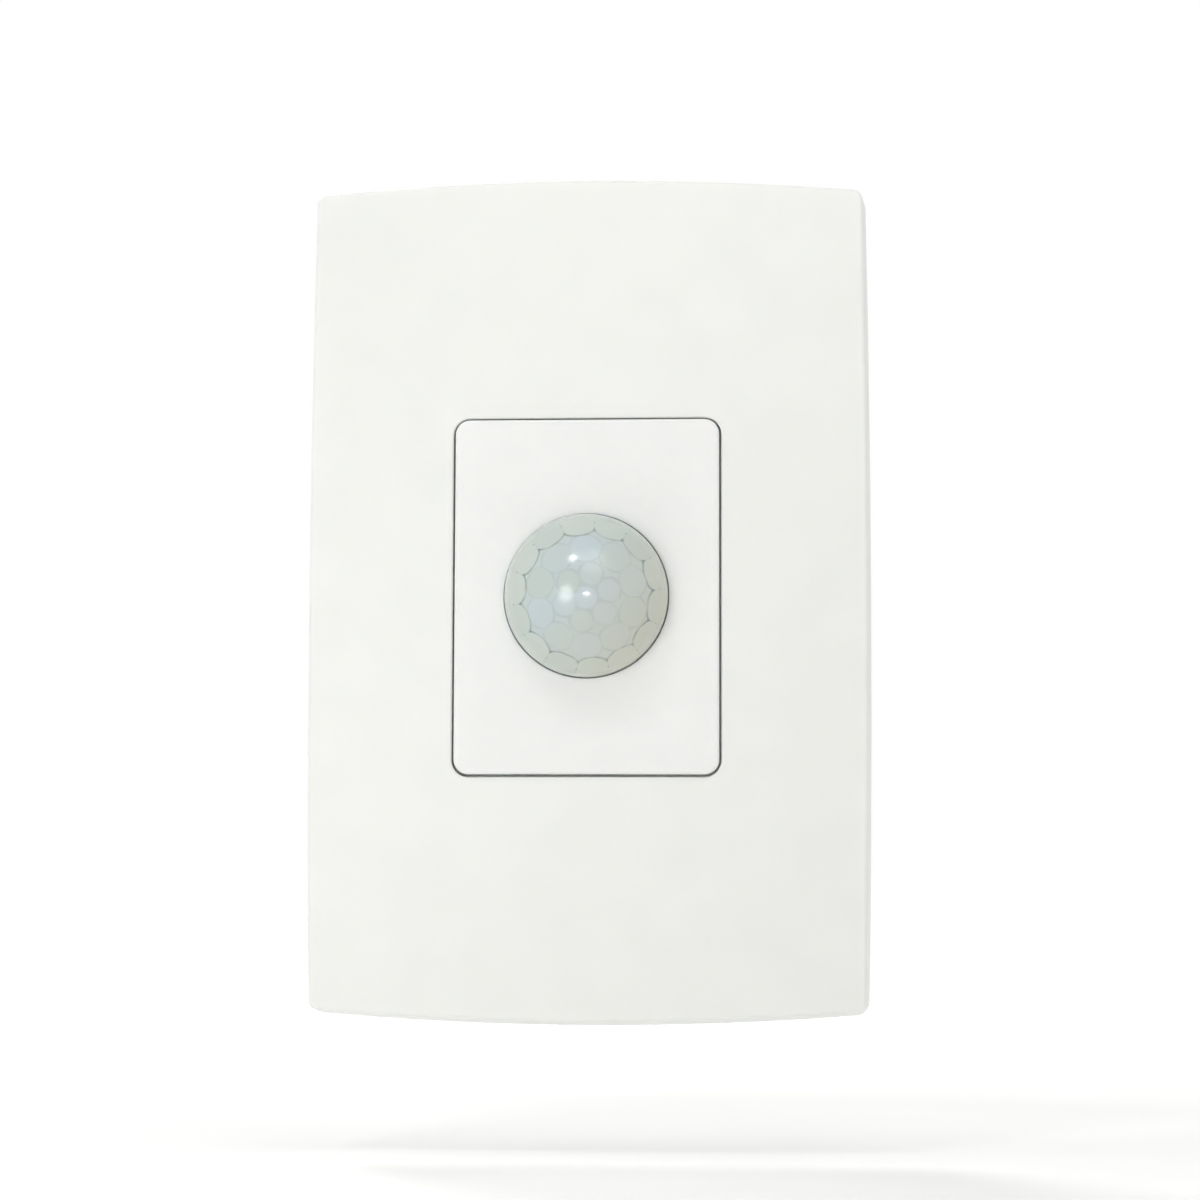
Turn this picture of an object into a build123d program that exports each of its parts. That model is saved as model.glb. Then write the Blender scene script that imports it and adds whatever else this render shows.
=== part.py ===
from build123d import *
from math import cos, radians, sin
import os

os.makedirs("parts", exist_ok=True)

# Motion sensor switch for a vertical wall box: a clip-on cover plate, a support frame, and a
# sensing module whose bezel and lens look out through the plate.
# Lengths are in millimetres. X runs to the right and Z up, and the room lies towards -Y.
# A depth counts from the wall towards the room, so what sits inside the wall box has a minus.

# Cover plate
plate_width = 80.0
plate_height = 120.0
side_bow = 0.55
end_bow = 1.7
plate_edge_depth = 7.6
plate_crown = 1.1
plate_draft = 5.0
plate_wall = 2.0
plate_corner = 2.0
plate_edge_radius = 0.5
hollow_corner = 0.9
rib_wall = 1.0
rib_root = 7.0
side_rib_x = 30.0
side_rib_length = 84.0
cross_rib_z = 36.5
cross_rib_length = 50.0

# Bezel insert, the part of the module that fills the plate's window
insert_width = 37.2
insert_height = 50.0
insert_corner = 2.1
insert_front = 8.9
insert_wall = 1.6
insert_edge_radius = 0.5
window_gap = 0.3
window_drop = 0.08
window_rim = 1.4
window_edge_chamfer = 0.2

# Support frame
frame_width = 70.0
frame_height = 108.0
frame_corner = 4.0
frame_depth = 3.6
frame_skin = 1.8
frame_rim = 1.6
box_screw_spacing = 83.5
slot_width = 4.2
slot_length = 7.0
slot_pad_width = 14.0
slot_pad_height = 14.0
head_recess_width = 9.5
head_recess_height = 12.0
head_recess_depth = 0.6

# Claws of the plate
claw_x = 24.0
claw_z = 48.0
claw_width = 6.0
claw_wall = 1.4
claw_barb = 0.7
claw_tip = 0.5
claw_ramp_top = 1.7
claw_side_gap = 0.2
claw_gap = 0.15

# Sensing module
module_width = 44.0
module_height = 66.0
module_corner = 2.5
module_wall = 1.6
module_front = 3.4
module_back = 26.0
module_gap = 0.5
flange_width = 48.0
flange_height = 70.0
flange_corner = 3.5
flange_wall = 1.6
terminal_back = 20.0
step_low_z = -21.5
step_high_z = -15.5
housing_edge_chamfer = 1.2
wedge_z = 18.0
wedge_length = 8.0
wedge_bite = 1.3
wedge_start = 1.65
wedge_end = 4.5
wedge_notch = 9.0
vent_width = 1.4
vent_length = 9.0
vent_pitch = 4.0
vent_middle = 15.0
top_vents = 5
side_vents = 4
label_width = 28.0
label_height = 24.0
label_corner = 1.0
label_sink = 0.3
label_z = 6.0

# Screws that hold the housing to the bezel
boss_x = 17.6
boss_z = 28.6
boss_radius = 2.5
boss_back = 9.0
pilot_radius = 1.3
tube_radius = 3.2
tube_gap = 0.05
seat_back = 12.0
head_bore_radius = 2.6
screw_hole_radius = 1.45
housing_screw_radius = 1.25
housing_screw_tip = 3.0
housing_head_radius = 2.3
housing_head_height = 1.6
drive_radius = 1.0
drive_width = 0.6
drive_depth = 0.9

# Circuit board
board_width = 40.0
board_height = 62.0
board_front = -3.2
board_wall = 1.6
board_back = board_front - board_wall
board_notch = 5.4
rail_length = 48.0
rail_wall = 1.2
ledge_length = 9.0
ledge_depth = 3.2
solder_tail = 1.2
hole_gap = 0.12
stand_off = 0.2

# Dome lens
dome_radius = 11.5
dome_gap = 0.15
lens_flange_radius = 13.0
lens_flange_wall = 0.75
lens_skin = 0.55
cell_turn = 19.0

# Rings of lens cells, each with its tilt from the axis, its cells, and the angle that a cell spans
# from its middle to its round edge
cell_rings = ((65.0, 14, 13.0), (40.0, 10, 12.5), (18.5, 6, 9.5), (0.0, 1, 9.5))

# Lens retainer
retainer_inner = 11.4
retainer_outer = 13.6
retainer_wall = 1.0
ear_reach = 15.4
ear_radius = 2.0
ear_count = 3
first_ear = 90.0
stake_radius = 0.9
stake_gap = 0.1

# Infrared sensor on its spacer
can_radius = 4.1
can_wall = 0.35
can_front = 9.0
can_window_width = 4.0
can_window_height = 3.0
window_lap = 0.5
window_wall = 0.5
sensor_base_radius = 4.6
sensor_base_front = 5.4
sensor_base_wall = 0.8
element_width = 2.2
element_height = 0.8
element_wall = 0.4
element_pitch = 1.6
spacer_radius = 4.4
spacer_bore = 3.4
lead_size = 0.5
sensor_lead_ring = 2.5
sensor_lead_turns = (90, 210, 330)

# Screw terminals
pole_pitch = 9.0
pole_count = 3
block_half_width = 14.1
block_low_z = -31.2
block_high_z = -21.0
block_back = 18.2
block_chamfer = 1.2
pole_z = -26.4
pocket_half_width = 3.6
pocket_low_z = -29.7
pocket_high_z = -22.1
wire_depth = -8.6
wire_radius = 2.0
entry_flare = 0.8
clamp_half_width = 3.3
clamp_length = 6.0
clamp_wall = 0.9
clamp_open_back = 13.05
clamp_open_front = 6.2
clamp_head_wall = 1.9
clamp_travel = 2.0
clamp_end_gap = 0.15
pocket_back = clamp_open_back + clamp_travel + clamp_end_gap
bar_half_width = 1.9
bar_front = 10.1
bar_back = 11.0
bar_leg_wall = 0.8
bar_leg_gap = 0.3
terminal_screw_radius = 1.45
terminal_thread_gap = 0.05
terminal_head_radius = 2.3
terminal_head_seat = 16.0
terminal_head_height = 1.4
terminal_head_gap = 0.15
terminal_slot_width = 0.8
terminal_slot_depth = 0.7
driver_hole_radius = 2.5

# Trimmers
trimmer_x = 9.0
trimmer_z = -28.2
trimmer_size = 5.8
trimmer_front = 1.6
trimmer_floor = -1.0
rotor_radius = 2.0
rotor_gap = 0.08
stem_radius = 1.75
stem_front = 4.9
stem_hole_radius = 2.1
rotor_slot_width = 0.7
rotor_slot_depth = 0.9

# Relay
relay_x = -10.4
relay_z = 12.0
relay_width = 15.5
relay_height = 19.0
relay_back = 20.2
relay_case_wall = 0.6
relay_base_wall = 1.6
relay_base_gap = 0.05
coil_z = relay_z - 1.0
coil_core_radius = 2.2
coil_hub_radius = 2.7
coil_flange_size = 10.5
coil_flange_wall = 0.8
coil_front = 8.6
coil_back = 15.6
winding_radius = 4.9
yoke_front = 6.7
yoke_wall = 1.0
yoke_half_width = 5.0
yoke_low_z = relay_z - 7.9
yoke_high_z = relay_z + 3.5
yoke_leg_back = 16.95
pole_head_radius = 3.4
pole_head_back = 16.5
armature_half_width = 4.8
armature_front = 17.2
armature_wall = 1.0
knuckle_radius = 0.2
knuckle_z = yoke_low_z + yoke_wall / 2
armature_high_z = relay_z + 4.5
leaf_half_width = 2.0
leaf_wall = 0.25
leaf_low_z = relay_z - 5.5
leaf_high_z = relay_z + 7.6
contact_z = relay_z + 6.8
contact_radius = 1.3
contact_wall = 0.7
fixed_contact_back = 16.5
fixed_strip_wall = 0.5
fixed_strip_z = relay_z + 8.1
fixed_tab_low_z = relay_z + 5.4

# Parts on the back of the board
film_x = 2.3
film_z = 12.0
film_width = 7.5
film_height = 17.5
film_back = 19.0
film_lead_pitch = 15.0
filter_x = 14.6
filter_z = -8.0
filter_radius = 4.0
filter_back = 17.0
timing_radius = 2.5
timing_back = 12.0
timing_places = ((4.0, -14.5), (9.6, -14.5))
can_groove = 0.25
can_groove_from_foot = 1.6
diode_radius = 1.35
diode_length = 5.2
diode_span = 7.2
diode_z = -8.6
diode_first_x = -13.5
diode_count = 4
axial_pitch = 3.2
resistor_radius = 1.2
resistor_length = 6.3
resistor_span = 7.6
resistor_z = -16.7
resistor_count = 5
transistor_radius = 2.3
transistor_flat = 1.2
transistor_height = 4.6
transistor_lift = 1.5
transistor_pitch = 1.27
regulator_place = (5.2, -4.5)
driver_place = (-16.9, -9.0)
varistor_radius = 5.0
varistor_wall = 4.0
varistor_x = 10.8
varistor_z = 15.0
varistor_lift = 0.6
fuse_x = 14.6
fuse_z = 3.6
fuse_radius = 4.1
fuse_back = 12.6
fuse_pitch = 5.1

# Parts on the front of the board
chip_z = 25.7
chip_length = 19.3
chip_width = 6.4
chip_lift = 0.5
chip_wall = 3.2
chip_pitch = 2.54
chip_pins_per_side = 8
chip_row_reach = 3.81
chip_pin_width = 0.6
photocell_place = (-7.6, -2.0)
photocell_radius = 2.5
photocell_back = 6.6
photocell_wall = 1.9
photocell_flat = 2.1
led_place = (7.6, -2.0)
led_radius = 1.5
led_flange_radius = 1.9
led_flange_wall = 0.9
led_back = 5.2
led_height = 4.6

pole_places = [pole_pitch * (i - (pole_count - 1) / 2) for i in range(pole_count)]
boss_places = [(x, z) for x in (-boss_x, boss_x) for z in (-boss_z, boss_z)]
sides = (-1, 1)
plate_depth = plate_edge_depth + plate_crown
flange_front = frame_depth + flange_wall

# Holes that the board gets for leads, as places and sizes, gathered while the leads are made
board_holes = []

# Cuts that go right through a wall start and end this far outside it
clear = 1.0


def slab(width, height, radius, base, top, places=((0, 0),), mode=Mode.ADD):
    """Raise rounded rectangles from one depth to another."""
    with BuildSketch(Plane.XZ.offset(base)) as outline:
        with Locations(*places):
            RectangleRounded(width, height, radius)
    extrude(outline.sketch, amount=top - base, mode=mode)


def block(width, height, base, top, places=((0, 0),), mode=Mode.ADD):
    """Raise square-cornered rectangles from one depth to another."""
    with BuildSketch(Plane.XZ.offset(base)) as outline:
        with Locations(*places):
            Rectangle(width, height)
    extrude(outline.sketch, amount=top - base, mode=mode)


def peg(radius, base, top, places=((0, 0),), mode=Mode.ADD):
    """Raise round pegs, or bore round holes, from one depth to another."""
    with BuildSketch(Plane.XZ.offset(base)) as outline:
        with Locations(*places):
            Circle(radius)
    extrude(outline.sketch, amount=top - base, mode=mode)


def frame_ring(width, height, radius, wall, base, top, place=(0, 0)):
    """Raise a rectangular wall that follows a rounded outline on its inside."""
    with BuildSketch(Plane.XZ.offset(base)) as outline:
        with Locations(place):
            RectangleRounded(width + 2 * wall, height + 2 * wall, radius + wall)
            RectangleRounded(width, height, radius, mode=Mode.SUBTRACT)
    extrude(outline.sketch, amount=top - base)


def leads(start, places, size=lead_size):
    """Run square leads from either side of the board through its holes."""
    tip = board_front + solder_tail if start < board_back else board_back - solder_tail
    block(size, size, start, tip, places)
    board_holes.extend((place, size + 2 * hole_gap) for place in places)


def axial_part(place, radius, length, span, lift):
    """Lay a part along Z at a distance behind the wall, on leads bent down through the board."""
    x, z = place
    with BuildSketch(Plane.XY.offset(z - length / 2)) as outline:
        with Locations((x, lift)):
            Circle(radius)
    extrude(outline.sketch, amount=length)
    with BuildSketch(Plane.XY.offset(z - (span + lead_size) / 2)) as wire:
        with Locations((x, lift)):
            Rectangle(lead_size, lead_size)
    extrude(wire.sketch, amount=span + lead_size)
    leads(-lift, [(x, z + s * span / 2) for s in sides])


def finish(builder, name):
    """Label a finished piece and write it to its file."""
    builder.part.label = name
    export_step(builder.part, f"parts/{name}.step")


def plate_form(inset, corner_radius):
    """Raise the bowed and drafted outline of the plate, set in by a wall, and crown its face."""
    corner_x = plate_width / 2 - side_bow
    corner_z = plate_height / 2 - end_bow
    with BuildSketch(Plane.XZ) as outline:
        with BuildLine():
            ThreePointArc((-corner_x, corner_z), (0, plate_height / 2), (corner_x, corner_z))
            ThreePointArc((corner_x, corner_z), (plate_width / 2, 0), (corner_x, -corner_z))
            ThreePointArc((corner_x, -corner_z), (0, -plate_height / 2), (-corner_x, -corner_z))
            ThreePointArc((-corner_x, -corner_z), (-plate_width / 2, 0), (-corner_x, corner_z))
        make_face()
        if inset:
            offset(amount=-inset, kind=Kind.INTERSECTION, mode=Mode.REPLACE)
        fillet(outline.vertices(), corner_radius)
    extrude(outline.sketch, amount=plate_depth, taper=plate_draft)
    half = plate_width / 2
    edge = -plate_edge_depth + inset
    with BuildSketch(Plane.XY) as crown:
        with BuildLine():
            ThreePointArc((-half, edge), (0, edge - plate_crown), (half, edge))
            Polyline((half, edge), (half, 0), (-half, 0), (-half, edge))
        make_face()
    extrude(crown.sketch, amount=plate_height, both=True, mode=Mode.INTERSECT)


# Cover plate: bowed outline, drafted sides and crowned face, over a hollow of the same form
with BuildPart() as plate_hollow:
    plate_form(plate_wall, hollow_corner)

with BuildPart() as cover_plate:
    plate_form(0, plate_corner)
    fillet(cover_plate.faces().sort_by(Axis.Y)[0].edges(), plate_edge_radius)
    add(plate_hollow.part, mode=Mode.SUBTRACT)
    # Window and the rim that guides the insert
    window_width = insert_width + 2 * window_gap
    window_height = insert_height + 2 * window_gap
    window_corner = insert_corner + window_gap
    window_size = (window_width, window_height, window_corner)
    window_place = (0, -window_drop)
    frame_ring(*window_size, window_rim, flange_front + window_gap, rib_root, window_place)
    slab(*window_size, 0, plate_depth + clear, [window_place], Mode.SUBTRACT)
    chamfer(cover_plate.faces().sort_by(Axis.Y)[0].inner_wires()[0].edges(), window_edge_chamfer)
    # Stiffening ribs behind the face
    block(rib_wall, side_rib_length, frame_depth + window_gap, rib_root, [(s * side_rib_x, 0) for s in sides])
    block(cross_rib_length, rib_wall, flange_front + window_gap, rib_root, [(0, s * cross_rib_z) for s in sides])
    # Four claws, each with a barb behind the skin of the frame
    for x in (-claw_x, claw_x):
        with BuildSketch(Plane.YZ.offset(x)) as claw:
            with BuildLine():
                inner_z = claw_z - claw_wall / 2
                outer_z = claw_z + claw_wall / 2
                Polyline(
                    (-rib_root, inner_z),
                    (-claw_tip, inner_z),
                    (-claw_tip, outer_z),
                    (-claw_ramp_top, outer_z + claw_barb),
                    (-claw_ramp_top, outer_z),
                    (-rib_root, outer_z),
                    close=True,
                )
            make_face()
            mirror(about=Plane.XZ)
        extrude(amount=claw_width / 2, both=True)
finish(cover_plate, "cover_plate")

# Support frame: a skin held off the wall by its rims, with the box-screw slots in full pads
with BuildPart() as support_frame:
    aperture_width = module_width + 2 * module_gap
    aperture_height = module_height + 2 * module_gap
    slab(frame_width, frame_height, frame_corner, frame_depth - frame_skin, frame_depth)
    inner_width = frame_width - 2 * frame_rim
    inner_height = frame_height - 2 * frame_rim
    frame_ring(inner_width, inner_height, frame_corner - frame_rim, frame_rim, 0, frame_depth)
    frame_ring(aperture_width, aperture_height, module_corner, frame_rim, 0, frame_depth)
    slot_places = [(0, s * box_screw_spacing / 2) for s in sides]
    slab(slot_pad_width, slot_pad_height, frame_rim, 0, frame_depth, slot_places)
    # Ribs that tie the pads and the aperture to the outer rim
    outer_rib_x = (aperture_width + inner_width) / 4
    rib_reach = (inner_width - aperture_width) / 2
    for z in (-wedge_z, 0, wedge_z):
        block(rib_reach, frame_rim, 0, frame_depth - frame_skin / 2, [(s * outer_rib_x, z * 2) for s in sides])
    block(
        frame_rim,
        inner_height / 2 - box_screw_spacing / 2,
        0,
        frame_depth - frame_skin / 2,
        [(0, s * (inner_height / 2 + box_screw_spacing / 2) / 2) for s in sides],
    )
    slab(aperture_width, aperture_height, module_corner, -clear, frame_depth + clear, mode=Mode.SUBTRACT)
    # Slots for the box screws, each with a shallow seat for the head
    seat_depth = frame_depth - head_recess_depth
    slab(head_recess_width, head_recess_height, frame_rim, seat_depth, frame_depth, slot_places, Mode.SUBTRACT)
    with BuildSketch(Plane.XZ):
        with Locations(*slot_places):
            SlotOverall(slot_length, slot_width, rotation=90)
    extrude(amount=frame_depth, mode=Mode.SUBTRACT)
    # Windows for the plate's claws
    claw_window = claw_wall + claw_barb + 2 * claw_gap
    claw_middle = claw_z + claw_barb / 2
    claw_places = [(x, s * claw_middle) for x in (-claw_x, claw_x) for s in sides]
    block(claw_width + 2 * claw_side_gap, claw_window, 0, frame_depth, claw_places, Mode.SUBTRACT)
    # Notches behind the skin, where the module's wedges catch
    wedge_places = [(s * aperture_width / 2, z) for s in sides for z in (-wedge_z, wedge_z)]
    block(2 * frame_rim, wedge_notch, -clear, frame_depth - frame_skin, wedge_places, Mode.SUBTRACT)
finish(support_frame, "support_frame")

# Module bezel: the insert on its flange, with the round opening for the lens
with BuildPart() as module_bezel:
    slab(insert_width, insert_height, insert_corner, frame_depth, insert_front)
    fillet(module_bezel.faces().sort_by(Axis.Y)[0].edges(), insert_edge_radius)
    slab(flange_width, flange_height, flange_corner, frame_depth, flange_front)
    hollow_width = insert_width - 2 * insert_wall
    hollow_height = insert_height - 2 * insert_wall
    insert_roof = insert_front - insert_wall
    slab(hollow_width, hollow_height, insert_corner, 0, insert_roof, mode=Mode.SUBTRACT)
    peg(dome_radius + dome_gap, 0, insert_front + clear, mode=Mode.SUBTRACT)
    # Side rails that press on the board
    rail_x = (board_width - rail_wall) / 2
    block(rail_wall, rail_length, board_front, frame_depth, [(s * rail_x, 0) for s in sides])
    # Screw bosses with their pilot holes
    peg(boss_radius, -boss_back, frame_depth, boss_places)
    peg(pilot_radius, -boss_back, frame_depth, boss_places, Mode.SUBTRACT)
    # Stakes for the lens retainer
    with BuildSketch(Plane.XZ.offset(insert_roof)):
        with PolarLocations(ear_reach, ear_count, start_angle=first_ear):
            Circle(stake_radius)
    stake_end = insert_roof - lens_flange_wall - 2 * retainer_wall
    extrude(amount=stake_end - insert_roof)
    # Ways for a screwdriver to the two trimmers
    trimmer_places = [(s * trimmer_x, trimmer_z) for s in sides]
    peg(stem_hole_radius, 0, flange_front, trimmer_places, Mode.SUBTRACT)
finish(module_bezel, "module_bezel")

# Dome lens: smooth outside, and flat lens cells in rings cut into the round inside
lens_back = insert_roof - lens_flange_wall
lens_inner = dome_radius - lens_skin
with BuildPart() as lens_hollow:
    with BuildSketch(Plane.XY):
        with BuildLine():
            CenterArc((0, -insert_front), lens_inner, -90, 90)
            Polyline((lens_inner, -insert_front), (lens_inner, 0), (0, 0), (0, -insert_front - lens_inner))
        make_face()
    revolve(axis=Axis.Y)
    for tilt, count, span in cell_rings:
        cell_distance = lens_inner * cos(radians(span))
        lean = sin(radians(tilt))
        for k in range(count):
            turn = radians(cell_turn + 360 * k / count)
            facing = Vector(lean * cos(turn), -cos(radians(tilt)), lean * sin(turn))
            cell_middle = Vector(0, -insert_front, 0) + facing * cell_distance
            split(bisect_by=Plane(origin=cell_middle, z_dir=facing), keep=Keep.BOTTOM)

with BuildPart() as dome_lens:
    with BuildSketch(Plane.XY):
        with BuildLine():
            CenterArc((0, -insert_front), dome_radius, -90, 90)
            Polyline(
                (dome_radius, -insert_front),
                (dome_radius, -insert_roof),
                (lens_flange_radius, -insert_roof),
                (lens_flange_radius, -lens_back),
                (0, -lens_back),
                (0, -insert_front - dome_radius),
            )
        make_face()
    revolve(axis=Axis.Y)
    add(lens_hollow.part, mode=Mode.SUBTRACT)
finish(dome_lens, "dome_lens")

# Lens retainer: a ring with three ears on the bezel's stakes
with BuildPart() as lens_retainer:
    with BuildSketch(Plane.XZ.offset(lens_back - retainer_wall)):
        Circle(retainer_outer)
        with PolarLocations(ear_reach, ear_count, start_angle=first_ear):
            Circle(ear_radius)
        with PolarLocations((ear_reach + retainer_inner) / 2, ear_count, start_angle=first_ear):
            Rectangle(ear_reach - retainer_inner, 2 * ear_radius)
        Circle(retainer_inner, mode=Mode.SUBTRACT)
        with PolarLocations(ear_reach, ear_count, start_angle=first_ear):
            Circle(stake_radius + stake_gap, mode=Mode.SUBTRACT)
    extrude(amount=retainer_wall)
finish(lens_retainer, "lens_retainer")

# Rear housing: a stepped tub, shallower over the terminals, that shells to an even wall
with BuildPart() as rear_housing:
    low_z = -module_height / 2
    high_z = module_height / 2
    with BuildSketch(Plane.YZ):
        with BuildLine():
            Polyline(
                (-module_front, low_z),
                (terminal_back, low_z),
                (terminal_back, step_low_z),
                (module_back, step_high_z),
                (module_back, high_z),
                (-module_front, high_z),
                close=True,
            )
        make_face()
    extrude(amount=module_width / 2, both=True)
    long_edges = rear_housing.edges().filter_by(Axis.Y)
    fillet(long_edges, module_corner)
    chamfer(rear_housing.faces().sort_by(Axis.Y)[-1].edges(), housing_edge_chamfer)
    offset(amount=-module_wall, openings=rear_housing.faces().sort_by(Axis.Y)[0])
    # Screw tubes from the back walls towards the bosses, and ledges behind the board
    upper_places = [(x, boss_z) for x in (-boss_x, boss_x)]
    lower_places = [(x, -boss_z) for x in (-boss_x, boss_x)]
    tube_front = -boss_back - tube_gap
    peg(tube_radius, -module_back + module_wall / 2, tube_front, upper_places)
    peg(tube_radius, -terminal_back + module_wall / 2, tube_front, lower_places)
    ledge_x = (module_width - module_wall) / 2 - rail_wall
    ledge_places = [(s * ledge_x, 0) for s in sides]
    block(2 * rail_wall, ledge_length, board_back - ledge_depth, board_back, ledge_places)
    peg(screw_hole_radius, tube_front, -module_back, boss_places, Mode.SUBTRACT)
    peg(head_bore_radius, -seat_back, -module_back, boss_places, Mode.SUBTRACT)
    # Ways in for three wires and three screwdrivers
    peg(driver_hole_radius, -terminal_back, -block_back, [(x, pole_z) for x in pole_places], Mode.SUBTRACT)
    with BuildSketch(Plane.XY.offset(low_z)):
        with Locations(*[(x, -wire_depth) for x in pole_places]):
            Circle(wire_radius)
    extrude(amount=module_wall, mode=Mode.SUBTRACT)
    # Wedges on the sides, which snap behind the skin of the frame
    for z in (-wedge_z, wedge_z):
        with BuildSketch(Plane.XY.offset(z)):
            with BuildLine():
                side = module_width / 2
                Polyline(
                    (side - module_wall / 2, -wedge_start),
                    (side + wedge_bite, -wedge_start),
                    (side, wedge_end),
                    (side - module_wall / 2, wedge_end),
                    close=True,
                )
            make_face()
            mirror(about=Plane.YZ)
        extrude(amount=wedge_length / 2, both=True)
    # Sunk field for a rating label, left bare
    label_floor = -module_back + label_sink
    slab(
        label_width,
        label_height,
        label_corner,
        -module_back - clear,
        label_floor,
        [(0, label_z)],
        Mode.SUBTRACT,
    )
    # Cooling slots in the top and beside the relay
    with BuildSketch(Plane.XY.offset(high_z - 2 * module_wall)):
        with Locations((0, vent_middle)):
            with GridLocations(vent_pitch, 0, top_vents, 1):
                Rectangle(vent_width, vent_length)
    extrude(amount=3 * module_wall, mode=Mode.SUBTRACT)
    with BuildSketch(Plane.YZ):
        with Locations((vent_middle, relay_z)):
            with GridLocations(0, vent_pitch, 1, side_vents):
                Rectangle(vent_length, vent_width)
    extrude(amount=module_width, both=True, mode=Mode.SUBTRACT)
finish(rear_housing, "rear_housing")

# Four self-tapping screws, sunk in the housing's tubes
with BuildPart() as housing_screws:
    peg(housing_screw_radius, -seat_back, -housing_screw_tip, boss_places)
    with BuildSketch(Plane.XZ.offset(-seat_back)):
        with Locations(*boss_places):
            Circle(housing_head_radius)
    extrude(amount=-housing_head_height)
    rims = housing_screws.faces().group_by(Axis.Y)[-1].edges()
    chamfer(rims, housing_head_height / 2)
    head_back = -seat_back - housing_head_height
    block(2 * drive_radius, drive_width, head_back, head_back + drive_depth, boss_places, Mode.SUBTRACT)
    block(drive_width, 2 * drive_radius, head_back, head_back + drive_depth, boss_places, Mode.SUBTRACT)
finish(housing_screws, "housing_screws")

# Infrared sensor: metal can with its filter window over two sensing strips
with BuildPart() as sensor_can:
    peg(can_radius, sensor_base_front, can_front)
    chamfer(sensor_can.faces().sort_by(Axis.Y)[0].edges(), can_wall)
    peg(can_radius - can_wall, sensor_base_front, can_front - can_wall, mode=Mode.SUBTRACT)
    block(can_window_width, can_window_height, sensor_base_front, can_front + clear, mode=Mode.SUBTRACT)
finish(sensor_can, "sensor_can")

with BuildPart() as sensor_window:
    window_front = can_front - can_wall
    pane_size = (can_window_width + 2 * window_lap, can_window_height + 2 * window_lap)
    block(*pane_size, window_front - window_wall, window_front)
finish(sensor_window, "sensor_window")

sensor_leads_at = [
    (sensor_lead_ring * cos(radians(turn)), sensor_lead_ring * sin(radians(turn))) for turn in sensor_lead_turns
]
with BuildPart() as sensor_base:
    peg(sensor_base_radius, sensor_base_front - sensor_base_wall, sensor_base_front)
finish(sensor_base, "sensor_base")

with BuildPart() as sensor_elements:
    strip_places = [(0, s * element_pitch / 2) for s in sides]
    block(element_width, element_height, sensor_base_front, sensor_base_front + element_wall, strip_places)
finish(sensor_elements, "sensor_elements")

with BuildPart() as sensor_leads:
    leads(sensor_base_front - sensor_base_wall, sensor_leads_at)
finish(sensor_leads, "sensor_leads")

with BuildPart() as sensor_spacer:
    spacer_top = sensor_base_front - sensor_base_wall
    peg(spacer_radius, board_front, spacer_top)
    peg(spacer_bore, board_front, spacer_top, mode=Mode.SUBTRACT)
finish(sensor_spacer, "sensor_spacer")

# Photocell and indicator lamp, beside the sensor under the lens
with BuildPart() as photocell:
    photocell_front = photocell_back + photocell_wall
    peg(photocell_radius, photocell_back, photocell_front, [photocell_place])
    flats = (2 * photocell_flat, 2 * photocell_radius)
    block(*flats, photocell_back, photocell_front, [photocell_place], Mode.INTERSECT)
    photocell_feet = [(photocell_place[0], photocell_place[1] + s * chip_pitch / 2) for s in sides]
    leads(photocell_back, photocell_feet)
finish(photocell, "photocell")

with BuildPart() as indicator_led:
    led_shoulder = led_back + led_height - led_radius
    peg(led_flange_radius, led_back, led_back + led_flange_wall, [led_place])
    peg(led_radius, led_back, led_shoulder, [led_place])
    with Locations((led_place[0], -led_shoulder, led_place[1])):
        Sphere(led_radius)
    led_feet = [(led_place[0] + s * chip_pitch / 2, led_place[1]) for s in sides]
    leads(led_back, led_feet)
finish(indicator_led, "indicator_led")

# Control chip in a dual in-line case, and its two rows of pins
with BuildPart() as control_chip:
    chip_back = board_front + chip_lift
    slab(chip_length, chip_width, chip_pin_width, chip_back, chip_back + chip_wall, [(0, chip_z)])
    peg(chip_pin_width, chip_back, chip_back + chip_wall, [(-chip_length / 2, chip_z)], Mode.SUBTRACT)
finish(control_chip, "control_chip")

with BuildPart() as chip_pins:
    first_x = -chip_pitch * (chip_pins_per_side - 1) / 2
    chip_columns = [first_x + chip_pitch * i for i in range(chip_pins_per_side)]
    chip_feet = [(x, chip_z + s * chip_row_reach) for x in chip_columns for s in sides]
    shoulder = chip_back + chip_wall / 2
    shoulder_length = chip_row_reach - chip_width / 2 + chip_pin_width / 2
    for s in sides:
        shoulder_z = chip_z + s * (chip_width + shoulder_length) / 2
        shoulder_places = [(x, shoulder_z) for x in chip_columns]
        block(chip_pin_width, shoulder_length, shoulder - chip_pin_width / 2, shoulder, shoulder_places)
    leads(shoulder, chip_feet, chip_pin_width)
finish(chip_pins, "chip_pins")

# Two trimmers, for the time and for the light level
for name, side in (("time_trimmer", -1), ("light_trimmer", 1)):
    place = (side * trimmer_x, trimmer_z)
    with BuildPart() as trimmer_body:
        slab(trimmer_size, trimmer_size, stand_off, board_front + stand_off, trimmer_front, [place])
        peg(rotor_radius + rotor_gap, trimmer_floor, trimmer_front, [place], Mode.SUBTRACT)
        trimmer_feet = [(place[0] + step * chip_pitch, place[1]) for step in sides]
        leads(board_front + stand_off, trimmer_feet)
    finish(trimmer_body, f"{name}_body")
    with BuildPart() as trimmer_rotor:
        peg(rotor_radius, trimmer_floor + rotor_gap, trimmer_front, [place])
        peg(stem_radius, trimmer_front, stem_front, [place])
        slot_floor = stem_front - rotor_slot_depth
        block(2 * stem_radius, rotor_slot_width, slot_floor, stem_front, [place], Mode.SUBTRACT)
    finish(trimmer_rotor, f"{name}_rotor")

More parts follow.
